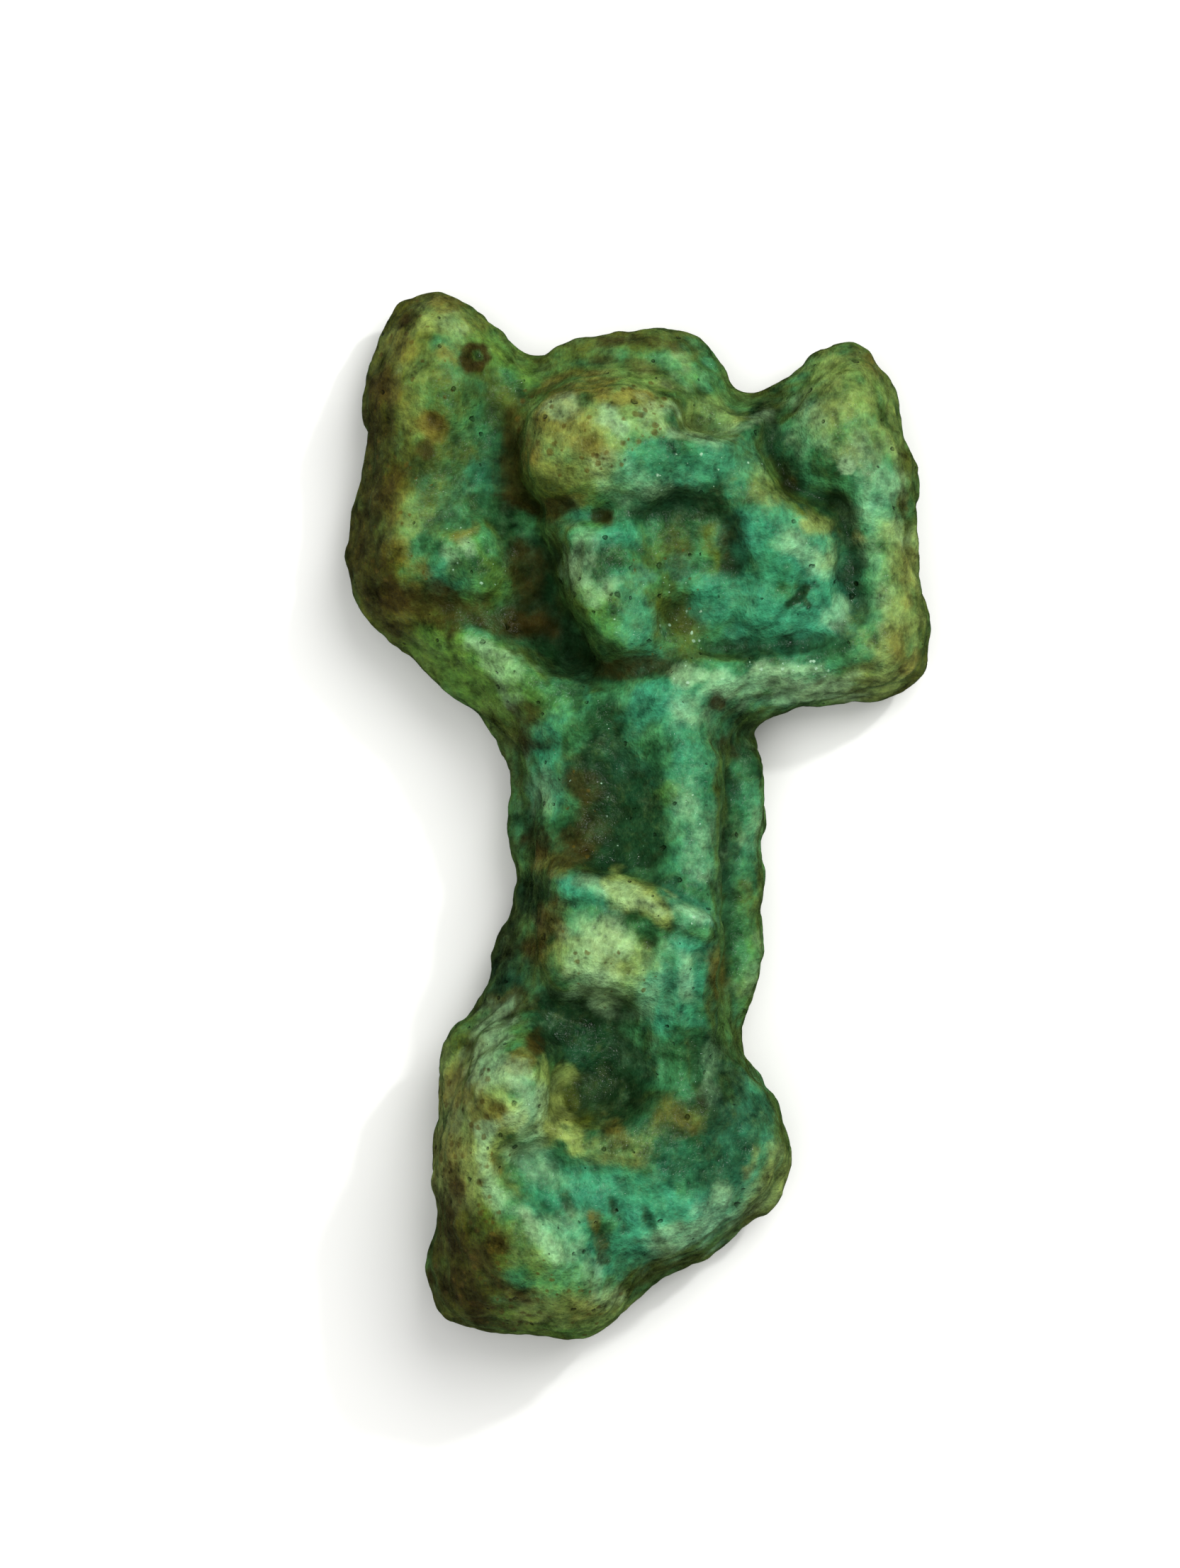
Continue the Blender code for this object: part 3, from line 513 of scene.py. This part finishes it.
        ([(-1.2, -11.3), (-1.1, -12.1)], 0.03, 0.16, 0.7),
        ([(-4.5, -12.5), (-4.4, -12.7)], 0.1, 0.35, 0.6),
        ([(-3.4, -13.5), (-3.1, -13.5)], 0.1, 0.3, 0.7),
        ([(-1.6, -13.9), (-1.1, -14.1)], 0.1, 0.4, 0.5),
        ([(3.0, -10.1), (3.0, -10.2)], 0.05, 0.2, 0.6),
    ],
    # Rubbed high ground, and painted highlights along lit ridges
    "paleWearAndHighlight": [
        ([(-3.4, -9.7), (-2.5, -10.1)], 0.1, 0.5, 0.6),
        ([(0.8, 12.8), (1.4, 12.4)], 0.08, 0.45, 0.3),
        ([(3.3, -4.7), (3.5, -3.7)], 0.05, 0.4, 0.4),
        ([(-5.3, 13.9), (-5.2, 13.8)], 0.1, 0.35, 0.5),
        ([(-4.8, 7.7), (-4.7, 7.6)], 0.04, 0.2, 0.8),
        ([(-5.5, 7.4), (-5.4, 7.3)], 0.05, 0.2, 0.7),
        ([(-0.9, 11.1), (-0.5, 10.9)], 0.18, 0.3, 0.95),
        ([(-2.2, 11.5), (-2.1, 11.5)], 0.12, 0.35, 0.6),
        ([(0.1, 11.2), (0.9, 11.4)], 0.1, 0.35, 0.55),
        ([(-0.9, 9.5), (-0.2, 9.3)], 0.2, 0.5, 0.5),
        ([(0.9, 10.7), (1.7, 10.5), (2.4, 10.6), (2.9, 10.9), (3.7, 11.4)], 0.03, 0.2, 0.5),
        ([(-1.6, 7.7), (-1.8, 6.9), (-1.3, 6.3)], 0.2, 0.4, 0.55),
        ([(0.2, 9.1), (0.7, 9.3)], 0.05, 0.3, 0.4),
        ([(4.3, 7.5), (5.3, 7.1)], 0.12, 0.4, 0.6),
        ([(5.5, 5.6), (5.6, 5.9)], 0.15, 0.3, 0.6),
        ([(4.9, 10.7), (4.7, 11.5)], 0.2, 0.5, 0.35),
        ([(5.9, 9.8), (5.9, 9.8)], 0.1, 0.14, 1.6),
        ([(6.4, 10.3), (6.9, 9.3), (6.9, 8.3)], 0.3, 0.6, 0.4),
        ([(6.6, 7.7), (6.9, 6.7), (6.7, 5.4)], 0.1, 0.5, 0.35),
        # Painted highlights along the top of the right upper arm
        ([(1.1, 3.9), (2.3, 3.9)], 0.08, 0.2, 0.9),
        ([(3.2, 4.0), (5.1, 4.1)], 0.03, 0.14, 0.95),
        ([(2.2, 3.7), (5.9, 3.6)], 0.15, 0.4, 0.75),
        ([(-4.7, 4.9), (-4.4, 4.7)], 0.05, 0.25, 0.8),
        ([(-3.9, 4.2), (-3.6, 3.8)], 0.2, 0.4, 0.6),
        ([(1.2, 2.8), (1.7, 2.6)], 0.15, 0.4, 0.5),
        ([(1.4, 0.4), (1.7, -0.2), (1.7, -1.3)], 0.1, 0.5, 0.45),
        ([(-2.7, 1.2), (-2.8, 0.4)], 0.1, 0.35, 0.5),
        ([(3.3, 0.0), (3.2, -0.7)], 0.06, 0.3, 0.3),
        ([(-1.7, -1.9), (-0.9, -2.2)], 0.08, 0.25, 0.5),
        ([(-0.6, -2.2), (0.5, -2.7)], 0.08, 0.3, 0.6),
        ([(0.6, -3.9), (0.8, -5.5)], 0.08, 0.4, 0.3),
        ([(1.0, -2.6), (1.7, -3.0)], 0.1, 0.3, 0.75),
        ([(-1.5, -3.4), (-0.8, -3.5), (-1.6, -4.4), (-1.0, -5.0)], 0.2, 0.6, 0.7),
        ([(0.3, -5.1), (0.0, -5.7)], 0.15, 0.4, 0.5),
        ([(1.3, -4.1), (1.4, -5.1)], 0.05, 0.25, 0.6),
        ([(0.3, -5.5), (0.4, -6.4)], 0.04, 0.3, 0.4),
        ([(2.0, -6.8), (1.9, -7.8)], 0.02, 0.3, 0.35),
        ([(-4.1, -6.1), (-4.3, -7.2)], 0.25, 0.5, 0.75),
        ([(-3.4, -7.5), (-3.0, -8.0), (-3.2, -9.0)], 0.2, 0.4, 0.75),
        ([(-2.9, -7.8), (-2.9, -8.4)], 0.05, 0.18, 1.0),
        ([(-4.3, -8.9), (-4.4, -9.6), (-4.1, -10.5), (-3.8, -11.0)], 0.08, 0.3, 0.85),
        ([(-3.8, -11.0), (-3.2, -11.2), (-2.7, -11.9), (-2.3, -12.4)], 0.05, 0.22, 0.9),
        ([(-1.4, -13.0), (-1.1, -13.5)], 0.15, 0.4, 0.5),
        ([(-2.3, -11.5), (-2.0, -12.1)], 0.15, 0.4, 0.6),
        ([(-5.2, -8.3), (-5.1, -9.2)], 0.1, 0.5, 0.3),
        ([(0.9, -12.0), (1.6, -11.7), (2.3, -11.1)], 0.2, 0.5, 0.65),
        ([(3.3, -10.8), (2.8, -11.6)], 0.1, 0.5, 0.35),
    ],
    # Iron stain and dirt, and painted shade on left-facing sides, under the crown and under the chin
    "brownDirtAndShade": [
        ([(-6.7, 14.3), (-6.6, 14.1)], 0.08, 0.25, 1.0),
        ([(-6.5, 14.6), (-6.1, 15.0)], 0.05, 0.3, 0.6),
        # Round the mouth of the blister
        ([(-5.0, 13.0), (-4.8, 13.3), (-4.5, 13.3), (-4.3, 13.0), (-4.5, 12.7), (-4.8, 12.7),
          (-5.0, 13.0)], 0.04, 0.14, 1.1),
        ([(-5.8, 11.3), (-5.7, 11.2)], 0.05, 0.2, 0.7),
        ([(-6.1, 10.4), (-6.0, 10.3)], 0.04, 0.16, 0.8),
        ([(-7.6, 11.9), (-7.4, 10.3), (-7.8, 7.9), (-7.3, 6.1)], 0.2, 0.7, 0.75),
        ([(-7.2, 6.3), (-6.1, 5.9), (-4.5, 5.6), (-2.9, 5.4)], 0.22, 0.45, 0.9),
        ([(-6.5, 5.3), (-6.9, 5.4)], 0.1, 0.3, 0.7),
        ([(-3.2, 7.1), (-3.0, 5.9)], 0.25, 0.5, 0.7),
        ([(-3.6, 11.3), (-3.6, 9.3)], 0.1, 0.35, 0.7),
        # Painted shade under the crown, with brown stain
        ([(-4.1, 9.1), (-2.9, 8.6), (-2.2, 8.7)], 0.08, 0.28, 0.9),
        ([(-1.2, 8.4), (-0.9, 8.3)], 0.16, 0.22, 1.0),
        ([(-3.0, 11.9), (-2.0, 12.0)], 0.03, 0.2, 0.6),
        ([(-1.3, 12.9), (-0.4, 12.9), (0.5, 12.6)], 0.03, 0.2, 0.6),
        ([(-1.0, 13.5), (0.0, 13.6), (1.0, 13.4)], 0.03, 0.2, 0.7),
        ([(6.9, 12.6), (6.7, 13.1)], 0.03, 0.2, 0.5),
        ([(0.8, 7.6), (1.0, 7.3)], 0.1, 0.3, 0.5),
        ([(2.4, 7.9), (2.5, 7.3)], 0.1, 0.3, 0.5),
        ([(0.8, 6.1), (1.7, 5.0)], 0.1, 0.4, 0.4),
        # Painted shade under the chin
        ([(-1.0, 4.1), (0.6, 4.1)], 0.08, 0.3, 0.8),
        ([(3.8, 10.0), (4.3, 9.3)], 0.05, 0.25, 0.6),
        ([(-3.2, 2.8), (-3.2, 2.0)], 0.12, 0.35, 0.8),
        ([(-3.6, 1.4), (-3.4, 0.8)], 0.1, 0.3, 0.6),
        ([(-1.5, 0.6), (-1.4, -0.2), (-1.7, -1.1)], 0.15, 0.6, 0.65),
        ([(-3.3, -0.7), (-2.2, -0.8)], 0.15, 0.35, 0.7),
        ([(2.5, 2.0), (2.7, 1.7)], 0.05, 0.25, 0.7),
        ([(2.2, 3.2), (2.3, 3.1)], 0.06, 0.2, 0.9),
        ([(5.1, 3.9), (5.1, 3.8)], 0.03, 0.14, 0.8),
        ([(-2.2, -3.1), (-3.2, -3.8)], 0.1, 0.4, 0.6),
        ([(-3.0, -6.3), (-2.9, -6.4)], 0.14, 0.22, 1.0),
        ([(-4.0, -8.1), (-3.9, -8.1)], 0.08, 0.2, 0.8),
        ([(-5.8, -9.2), (-5.7, -10.8)], 0.08, 0.3, 0.5),
        # Painted shade and brown stain on the left side of the foot
        ([(-5.6, -11.0), (-5.2, -12.0), (-4.4, -12.3)], 0.2, 0.7, 0.85),
        ([(-5.3, -13.3), (-4.6, -13.7), (-4.5, -14.3)], 0.2, 0.7, 0.85),
        ([(-3.9, -12.1), (-3.8, -12.2)], 0.08, 0.2, 1.0),
        ([(-4.1, -13.1), (-4.0, -13.2)], 0.05, 0.18, 0.8),
        ([(-3.3, -13.5), (-3.2, -13.6)], 0.07, 0.2, 0.8),
        ([(-0.7, -11.2), (-0.4, -11.7)], 0.02, 0.13, 0.7),
        ([(-1.0, -12.4), (-0.9, -12.6)], 0.03, 0.14, 0.7),
        ([(1.4, -6.5), (1.7, -8.0)], 0.03, 0.2, 0.4),
    ],
    # Places of painted glints: the pale specks come thicker here
    "paintedGlintPlaces": [
        ([(1.1, 3.9), (2.3, 3.9), (5.3, 4.1)], 0.15, 0.3, 1.0),
        ([(0.8, 9.9), (2.9, 10.1), (2.2, 10.7)], 0.4, 0.5, 0.7),
        ([(-1.6, 1.8), (-0.6, -0.7)], 0.5, 0.6, 0.6),
        ([(1.6, 0.6), (1.7, -1.5)], 0.2, 0.4, 0.5),
        ([(-5.3, 7.7), (-4.1, 6.7)], 0.4, 0.5, 0.6),
        ([(0.8, 6.1), (1.6, 5.0)], 0.4, 0.4, 0.8),
        ([(1.2, -2.7), (1.7, -3.1)], 0.15, 0.3, 0.9),
        ([(-3.1, -7.8), (-2.9, -8.4)], 0.1, 0.3, 0.7),
        ([(-0.6, 5.2), (-0.4, 5.0)], 0.15, 0.3, 0.8),
        ([(-1.2, 11.3), (0.0, 10.7)], 0.3, 0.4, 0.4),
    ],
    "freckled": [
        ([(-2.9, 11.1), (-2.0, 10.3), (-1.0, 10.7), (0.0, 11.5)], 0.6, 0.6, 1.0),
        ([(-6.9, 14.2), (-6.9, 11.1), (-7.3, 7.5)], 0.9, 0.9, 0.7),
        ([(-4.9, -7.8), (-5.1, -9.2), (-4.5, -10.4)], 0.6, 0.6, 1.0),
        ([(-5.1, -12.0), (-4.1, -13.7), (-1.6, -13.9)], 0.7, 0.8, 0.9),
        ([(-1.6, -3.9), (-0.4, -4.5)], 0.6, 0.4, 0.6),
        ([(0.6, 7.5), (1.2, 5.0)], 0.6, 0.5, 0.5),
        ([(7.5, 7.9), (7.5, 4.6)], 0.4, 0.5, 0.4),
        ([(-1.7, 1.0), (-1.5, -1.1)], 0.5, 0.5, 0.6),
    ],
}


# How the strokes lie on the skin, and the masks that follow its form. Sizes and depths are in mm,
# the last number of a noise is its seed, and a slope is the normal's Z: 1 faces up, 0 is a side.
masking = {
    "strokeSoftness": 1.4,  # how much wider than its fade an edge is drawn
    "raggedEdges": [(0.9, 0.5, 7), (0.4, 0.25, 8)],  # size, depth and seed
    "raggedPerFade": 2.2,  # thin strokes have less ragged edges
    "strokeSlopes": (-0.05, 0.4),  # strokes come in between these, since the sides are plainer
    "strokesOnSides": 0.25,  # the share of them that the sides keep
    "sea": (0.35, 0.5, 2.2, 9),  # mean, swing, size and seed
    "sideWearAndShadeSlopes": (0.85, 0.25),  # slopes where the weathered sides, painted darker as shade, begin and are full
    "hollowPasses": (12, 90),  # smoothing that gives the near and the far surroundings
    # Painted shade as well as grime: the deeper a spot lies below its surroundings, the darker it is
    "grimeAndShade": [(0, 0.06, 0.4), (0.1, 0.8, 0.6)],  # depths where it begins and is full, and its share
    "mostGrimeAndShade": 0.8,
}


def strokeMask(kind, spots, ragged):
    mask = np.zeros(len(spots))
    for path, core, fade, strength in strokes[kind]:
        reach = nearestOnPath(path, spots) + ragged * min(1, masking["raggedPerFade"] * fade)
        edge = core + masking["strokeSoftness"] * fade
        mask = np.maximum(mask, strength * ease(reach, edge, core))
    return mask


# How deep each spot lies below its near and its far surroundings
def hollows(spots, edges, normals):
    depths = []
    around = spots
    for passes in masking["hollowPasses"]:
        around = spread(around, edges, passes)
        depths.append(np.einsum("ij,ij->i", around - spots, normals))
    return depths


def storeMask(mesh, name, values):
    layer = mesh.attributes.new(name, "FLOAT", "POINT")
    layer.data.foreach_set("value", np.ascontiguousarray(values, dtype=np.float32))


def addMasks(mesh, spots, edges):
    normals = meshArray(mesh.vertices, "normal", 3)
    slope = normals[:, 2]
    ragged = sum(depth * bumpsAt(spots, size, seed) for size, depth, seed in masking["raggedEdges"])
    least = masking["strokesOnSides"]
    onSlope = least + (1 - least) * ease(slope, *masking["strokeSlopes"])
    for kind in strokes:
        storeMask(mesh, kind, strokeMask(kind, spots, ragged) * onSlope)
    mean, swing, size, seed = masking["sea"]
    storeMask(mesh, "sea", mean + swing * bumpsAt(spots, size, seed))
    storeMask(mesh, "sideWearAndShade", ease(slope, *masking["sideWearAndShadeSlopes"]))
    # Painted shade and grime in the hollows, stored as one mask
    grimeAndShade = np.zeros(len(spots))
    for depths, (begins, full, share) in zip(hollows(spots, edges, normals), masking["grimeAndShade"]):
        grimeAndShade += share * ease(depths, begins, full)
    storeMask(mesh, "grimeAndShade", np.minimum(grimeAndShade, masking["mostGrimeAndShade"]))


# Egyptian faience: quartz paste, moulded, with a thin copper-green glaze fired on. The eye sees a
# soft glassy gloss where the glaze survives, a dry chalky skin where it is rubbed off, and dirt
# held in hollows and pits. The colour also carries painted shade in hollows, grooves and on the
# sides, painted highlights on ridges and painted glints as pale specks. A pattern's Scale is one over its
# size.
faience = {
    "runDown": 0.5,  # the patterns run a little down the sides, as a glaze does
    # Thick and thin glaze: the ground drifts between two greens
    "deepGround": "163a1b",
    "greenGround": "3a7844",
    "patches": {"Scale": 1 / (1.5 * mm), "Detail": 5, "Roughness": 0.6},
    "drift": {"From Min": 0.36, "From Max": 0.62},
    # Colour, size of its ragged edge in mm and the most that it covers, from the lowest layer up
    "layers": {
        "sea": ("2a6c4a", 1.3, 0.6),
        # The sides are painted darker olive: weathering, and painted shade where they turn away
        "sideWearAndShade": ("505c14", 0.9, 0.6),
        "olive": ("4d540d", 0.9, 0.95),
        "turquoise": ("31825f", 1.0, 0.85),
        "leaf": ("55822c", 0.8, 0.8),
        # Deep: glaze pooled in hollows, and painted shade in grooves and under overhangs
        "deepGlazeAndShade": ("0f2c16", 0.9, 0.9),
        "straw": ("7f9248", 0.8, 0.8),
        "ochre": ("665a1c", 0.6, 0.75),
        # Pale: rubbed high ground, and painted highlights on ridges
        "paleWearAndHighlight": ("8ab480", 0.7, 0.68),
        # Brown: iron stain and dirt, and painted shade on left-facing sides and under the chin and crown
        "brownDirtAndShade": ("30280a", 0.6, 0.95),
    },
    # A layer shows where its mask and its own break-up add up to enough
    "breakUp": {"Detail": 8, "Roughness": 0.78},
    "breakUpStrength": 1.7,
    "breakUpSeed": 3.1,  # apart in the noise's fourth dimension, from one layer to the next
    "covering": {"From Min": 0.82, "From Max": 2.0},
    # Settings of the noise, and its share in the tone and in the bump
    "mottling": {
        "coarse": (
            {"Scale": 1 / (0.55 * mm), "Detail": 3, "Roughness": 0.55, "Distortion": 0.2}, 2.7, 0.9,
        ),
        "fine": ({"Scale": 1 / (0.22 * mm), "Detail": 2, "Roughness": 0.6}, 1.4, 1.0),
        "grain": ({"Scale": 1 / (0.1 * mm), "Detail": 2, "Roughness": 0.7}, 0.75, 0.5),
    },
    "toneStart": -1.26,
    "hueTurn": {"From Min": 0.3, "From Max": 0.7, "To Min": 0.485, "To Max": 0.515},
    # Specks of iron, painted glints as pale specks, and open pores: see roundSpecks
    "freckles": {"colour": "4c4214", "spacing": 0.27, "limits": (0.85, 1.9), "widest": 0.6, "most": 0.7},
    # Painted glints: pale specks that stand for sparkle on the glaze
    "paintedGlints": {"colour": "a9d0ae", "spacing": 0.2, "limits": (1.0, 1.9), "widest": 0.42, "most": 0.7},
    "pores": {"colour": "0c1906", "spacing": 0.42, "limits": (0.5, 1.0), "widest": 0.3, "most": 1.0},
    "dirtInPores": 0.5,
    # Gloss: from glassy glaze to chalky wear
    "mottleWear": 1.5,
    "roughness": {"From Min": 0.4, "From Max": 1.6, "To Min": 0.26, "To Max": 0.6},
    "ior": 1.5,
    "specular": 0.18,
    "coat": 0.25,
    "coatRoughness": 0.12,
    # Bumps, with heights in mm: the mottling stands a little, the pores are open
    "bumpHeight": 0.075,
    "poreRelief": -1.2,
    # Quartz grains in the glaze catch the lamp as tiny glints, in patches and less in the deep glaze and
    # its painted shade
    "crystals": {"Scale": 1 / (0.1 * mm)},
    "crystalHeight": 0.03,
    "crystalPatches": {"Scale": 1 / (0.9 * mm), "Detail": 3, "Roughness": 0.6},
    "crystalShare": {"From Min": 0.4, "From Max": 0.65, "To Min": 0.1},
    "crystalsInDeep": -0.8,
}

# Shape of every speck: its edge wobbles by a share of the cell, with noise finer than the cell,
# and it is solid out to a share of its width
speckShape = {"wobble": 0.5, "wobbleFineness": 2, "wobbleDetail": 3, "solid": 0.45, "thinnest": 0.001}

# Sockets of a Mix node when it mixes colours
mixUnder = 6
mixOver = 7
mixResult = 2


# Round specks with uneven edges, one to a cell: none where the cell's own random number and the
# mask add up to less than the lower limit, the widest where they reach the upper one
def roundSpecks(tree, place, specks, mask=0.0):
    cell = specks["spacing"] * mm
    fineness = {"Scale": speckShape["wobbleFineness"] / cell, "Detail": speckShape["wobbleDetail"]}
    wobble = addNode(tree, "TexNoise", {"Vector": place, **fineness}, "Color")
    shift = [speckShape["wobble"] * cell] * 3
    uneven = addNode(tree, "VectorMath", {0: wobble, 1: shift, 2: place}, operation="MULTIPLY_ADD")
    cells = {"Vector": uneven, "Scale": 1 / cell}
    away = addNode(tree, "TexVoronoi", cells, "Distance")
    chance = addNode(tree, "TexVoronoi", cells, "Color")
    drawn = addNode(tree, "Math", {0: chance, 1: mask}, operation="ADD")
    lower, upper = specks["limits"]
    widths = {"To Min": speckShape["thinnest"], "To Max": specks["widest"]}
    width = addNode(tree, "MapRange", {"Value": drawn, "From Min": lower, "From Max": upper, **widths})
    share = addNode(tree, "Math", {0: away, 1: width}, operation="DIVIDE")
    edge = {"From Min": speckShape["solid"], "From Max": 1.0, "To Min": specks["most"], "To Max": 0.0}
    return addNode(tree, "MapRange", {"Value": share, **edge}, interpolation_type="SMOOTHSTEP")


def faienceMaterial():
    material = bpy.data.materials.new("glazed faience")
    material.use_nodes = True
    tree = material.node_tree
    shader = tree.nodes["Principled BSDF"]
    place = addNode(tree, "TexCoord", output="Object")
    place = addNode(tree, "Mapping", {"Vector": place, "Scale": (1, 1, faience["runDown"])})

    patches = addNode(tree, "TexNoise", {"Vector": place, **faience["patches"]})
    drift = addNode(
        tree, "MapRange", {"Value": patches, **faience["drift"]}, interpolation_type="SMOOTHSTEP"
    )
    grounds = {mixUnder: fromHex(faience["deepGround"]), mixOver: fromHex(faience["greenGround"])}
    colour = addNode(tree, "Mix", {"Factor": drift, **grounds}, mixResult, data_type="RGBA")

    masks = {}
    for number, (name, (shade, edgeMm, most)) in enumerate(faience["layers"].items()):
        masks[name] = addNode(tree, "Attribute", output="Fac", attribute_name=name)
        own = {"W": faience["breakUpSeed"] * (number + 1), "Scale": 1 / (edgeMm * mm)}
        breakUp = addNode(
            tree, "TexNoise", {"Vector": place, **own, **faience["breakUp"]}, noise_dimensions="4D"
        )
        total = addNode(
            tree, "Math", {0: breakUp, 1: faience["breakUpStrength"], 2: masks[name]},
            operation="MULTIPLY_ADD",
        )
        covered = addNode(
            tree, "MapRange", {"Value": total, **faience["covering"], "To Max": most},
            interpolation_type="SMOOTHSTEP",
        )
        layer = {"Factor": covered, mixUnder: colour, mixOver: fromHex(shade)}
        colour = addNode(tree, "Mix", layer, mixResult, data_type="RGBA")

    # Iron freckles, denser on the weathered high ground
    dense = addNode(tree, "Attribute", output="Fac", attribute_name="freckled")
    freckles = roundSpecks(tree, place, faience["freckles"], dense)
    layer = {"Factor": freckles, mixUnder: colour, mixOver: fromHex(faience["freckles"]["colour"])}
    colour = addNode(tree, "Mix", layer, mixResult, data_type="RGBA")

    # Light and dark mottling at three scales
    tone = faience["toneStart"]
    relief = 0.0
    mottling = {}
    for name, (settings, toneShare, reliefShare) in faience["mottling"].items():
        mottling[name] = addNode(tree, "TexNoise", {"Vector": place, **settings})
        toTone = {0: mottling[name], 1: toneShare, 2: tone}
        tone = addNode(tree, "Math", toTone, operation="MULTIPLY_ADD")
        toRelief = {0: mottling[name], 1: reliefShare, 2: relief}
        relief = addNode(tree, "Math", toRelief, operation="MULTIPLY_ADD")
    turn = addNode(tree, "MapRange", {"Value": patches, **faience["hueTurn"]})
    colour = addNode(tree, "HueSaturation", {"Hue": turn, "Value": tone, "Color": colour})

    # Painted glints as pale specks; open pores hold dirt, and the hollows get painted shade
    glintPlaces = addNode(tree, "Attribute", output="Fac", attribute_name="paintedGlintPlaces")
    paintedGlints = roundSpecks(tree, place, faience["paintedGlints"], glintPlaces)
    layer = {"Factor": paintedGlints, mixUnder: colour, mixOver: fromHex(faience["paintedGlints"]["colour"])}
    colour = addNode(tree, "Mix", layer, mixResult, data_type="RGBA")
    pore = roundSpecks(tree, place, faience["pores"])
    grimeAndShade = addNode(tree, "Attribute", output="Fac", attribute_name="grimeAndShade")
    # Dirt in the pores, and painted shade in the hollows, in the same dark colour
    poreDirtAndHollowShade = addNode(
        tree, "Math", {0: pore, 1: faience["dirtInPores"], 2: grimeAndShade},
        operation="MULTIPLY_ADD", use_clamp=True,
    )
    layer = {"Factor": poreDirtAndHollowShade, mixUnder: colour, mixOver: fromHex(faience["pores"]["colour"])}
    colour = addNode(tree, "Mix", layer, mixResult, data_type="RGBA")
    tree.links.new(colour, shader.inputs["Base Color"])

    # Pale ground, with its painted highlights, and olive ground are worn dry
    worn = addNode(tree, "Math", {0: masks["paleWearAndHighlight"], 1: masks["olive"]}, operation="ADD")
    worn = addNode(
        tree, "Math", {0: mottling["coarse"], 1: faience["mottleWear"], 2: worn},
        operation="MULTIPLY_ADD",
    )
    roughness = addNode(tree, "MapRange", {"Value": worn, **faience["roughness"]})
    tree.links.new(roughness, shader.inputs["Roughness"])
    shader.inputs["IOR"].default_value = faience["ior"]
    shader.inputs["Specular IOR Level"].default_value = faience["specular"]
    shader.inputs["Coat Weight"].default_value = faience["coat"]
    shader.inputs["Coat Roughness"].default_value = faience["coatRoughness"]

    relief = addNode(
        tree, "Math", {0: pore, 1: faience["poreRelief"], 2: relief}, operation="MULTIPLY_ADD"
    )
    height = faience["bumpHeight"] * mm
    bump = addNode(tree, "Bump", {"Height": relief, "Strength": 1.0, "Distance": height})
    tree.links.new(bump, shader.inputs["Normal"])

    # The coat alone has the glints that the lamp makes on bumped facets
    grains = addNode(tree, "TexVoronoi", {"Vector": place, **faience["crystals"]}, "Distance")
    gather = addNode(tree, "TexNoise", {"Vector": place, **faience["crystalPatches"]})
    shown = addNode(tree, "MapRange", {"Value": gather, **faience["crystalShare"]})
    shown = addNode(
        tree, "Math", {0: masks["deepGlazeAndShade"], 1: faience["crystalsInDeep"], 2: shown},
        operation="MULTIPLY_ADD", use_clamp=True,
    )
    grains = addNode(tree, "Math", {0: grains, 1: shown}, operation="MULTIPLY")
    height = faience["crystalHeight"] * mm
    glint = addNode(tree, "Bump", {"Height": grains, "Strength": 1.0, "Distance": height, "Normal": bump})
    tree.links.new(glint, shader.inputs["Coat Normal"])
    return material


def buildAmulet():
    mesh = evenSkin(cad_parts["amulet"])
    edges = edgePairs(mesh)
    triangles = sum(len(p.vertices) - 2 for p in mesh.polygons)
    print("skin:", len(mesh.vertices), "vertices,", triangles, "triangles")
    spots = carvedSkin(mesh, edges)
    print("skin carved, front reaches", round(spots[:, 2].max(), 2), "mm")
    addMasks(mesh, spots, edges)
    print("masks stored:", len(strokes), "kinds of stroke")
    amulet = bpy.data.objects.new("faienceAmulet", mesh)
    bpy.context.scene.collection.objects.link(amulet)
    mesh.materials.clear()
    mesh.materials.append(faienceMaterial())
    mesh.shade_smooth()
    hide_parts("amulet")
    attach(amulet, "root")


buildAmulet()
print("amulet built")
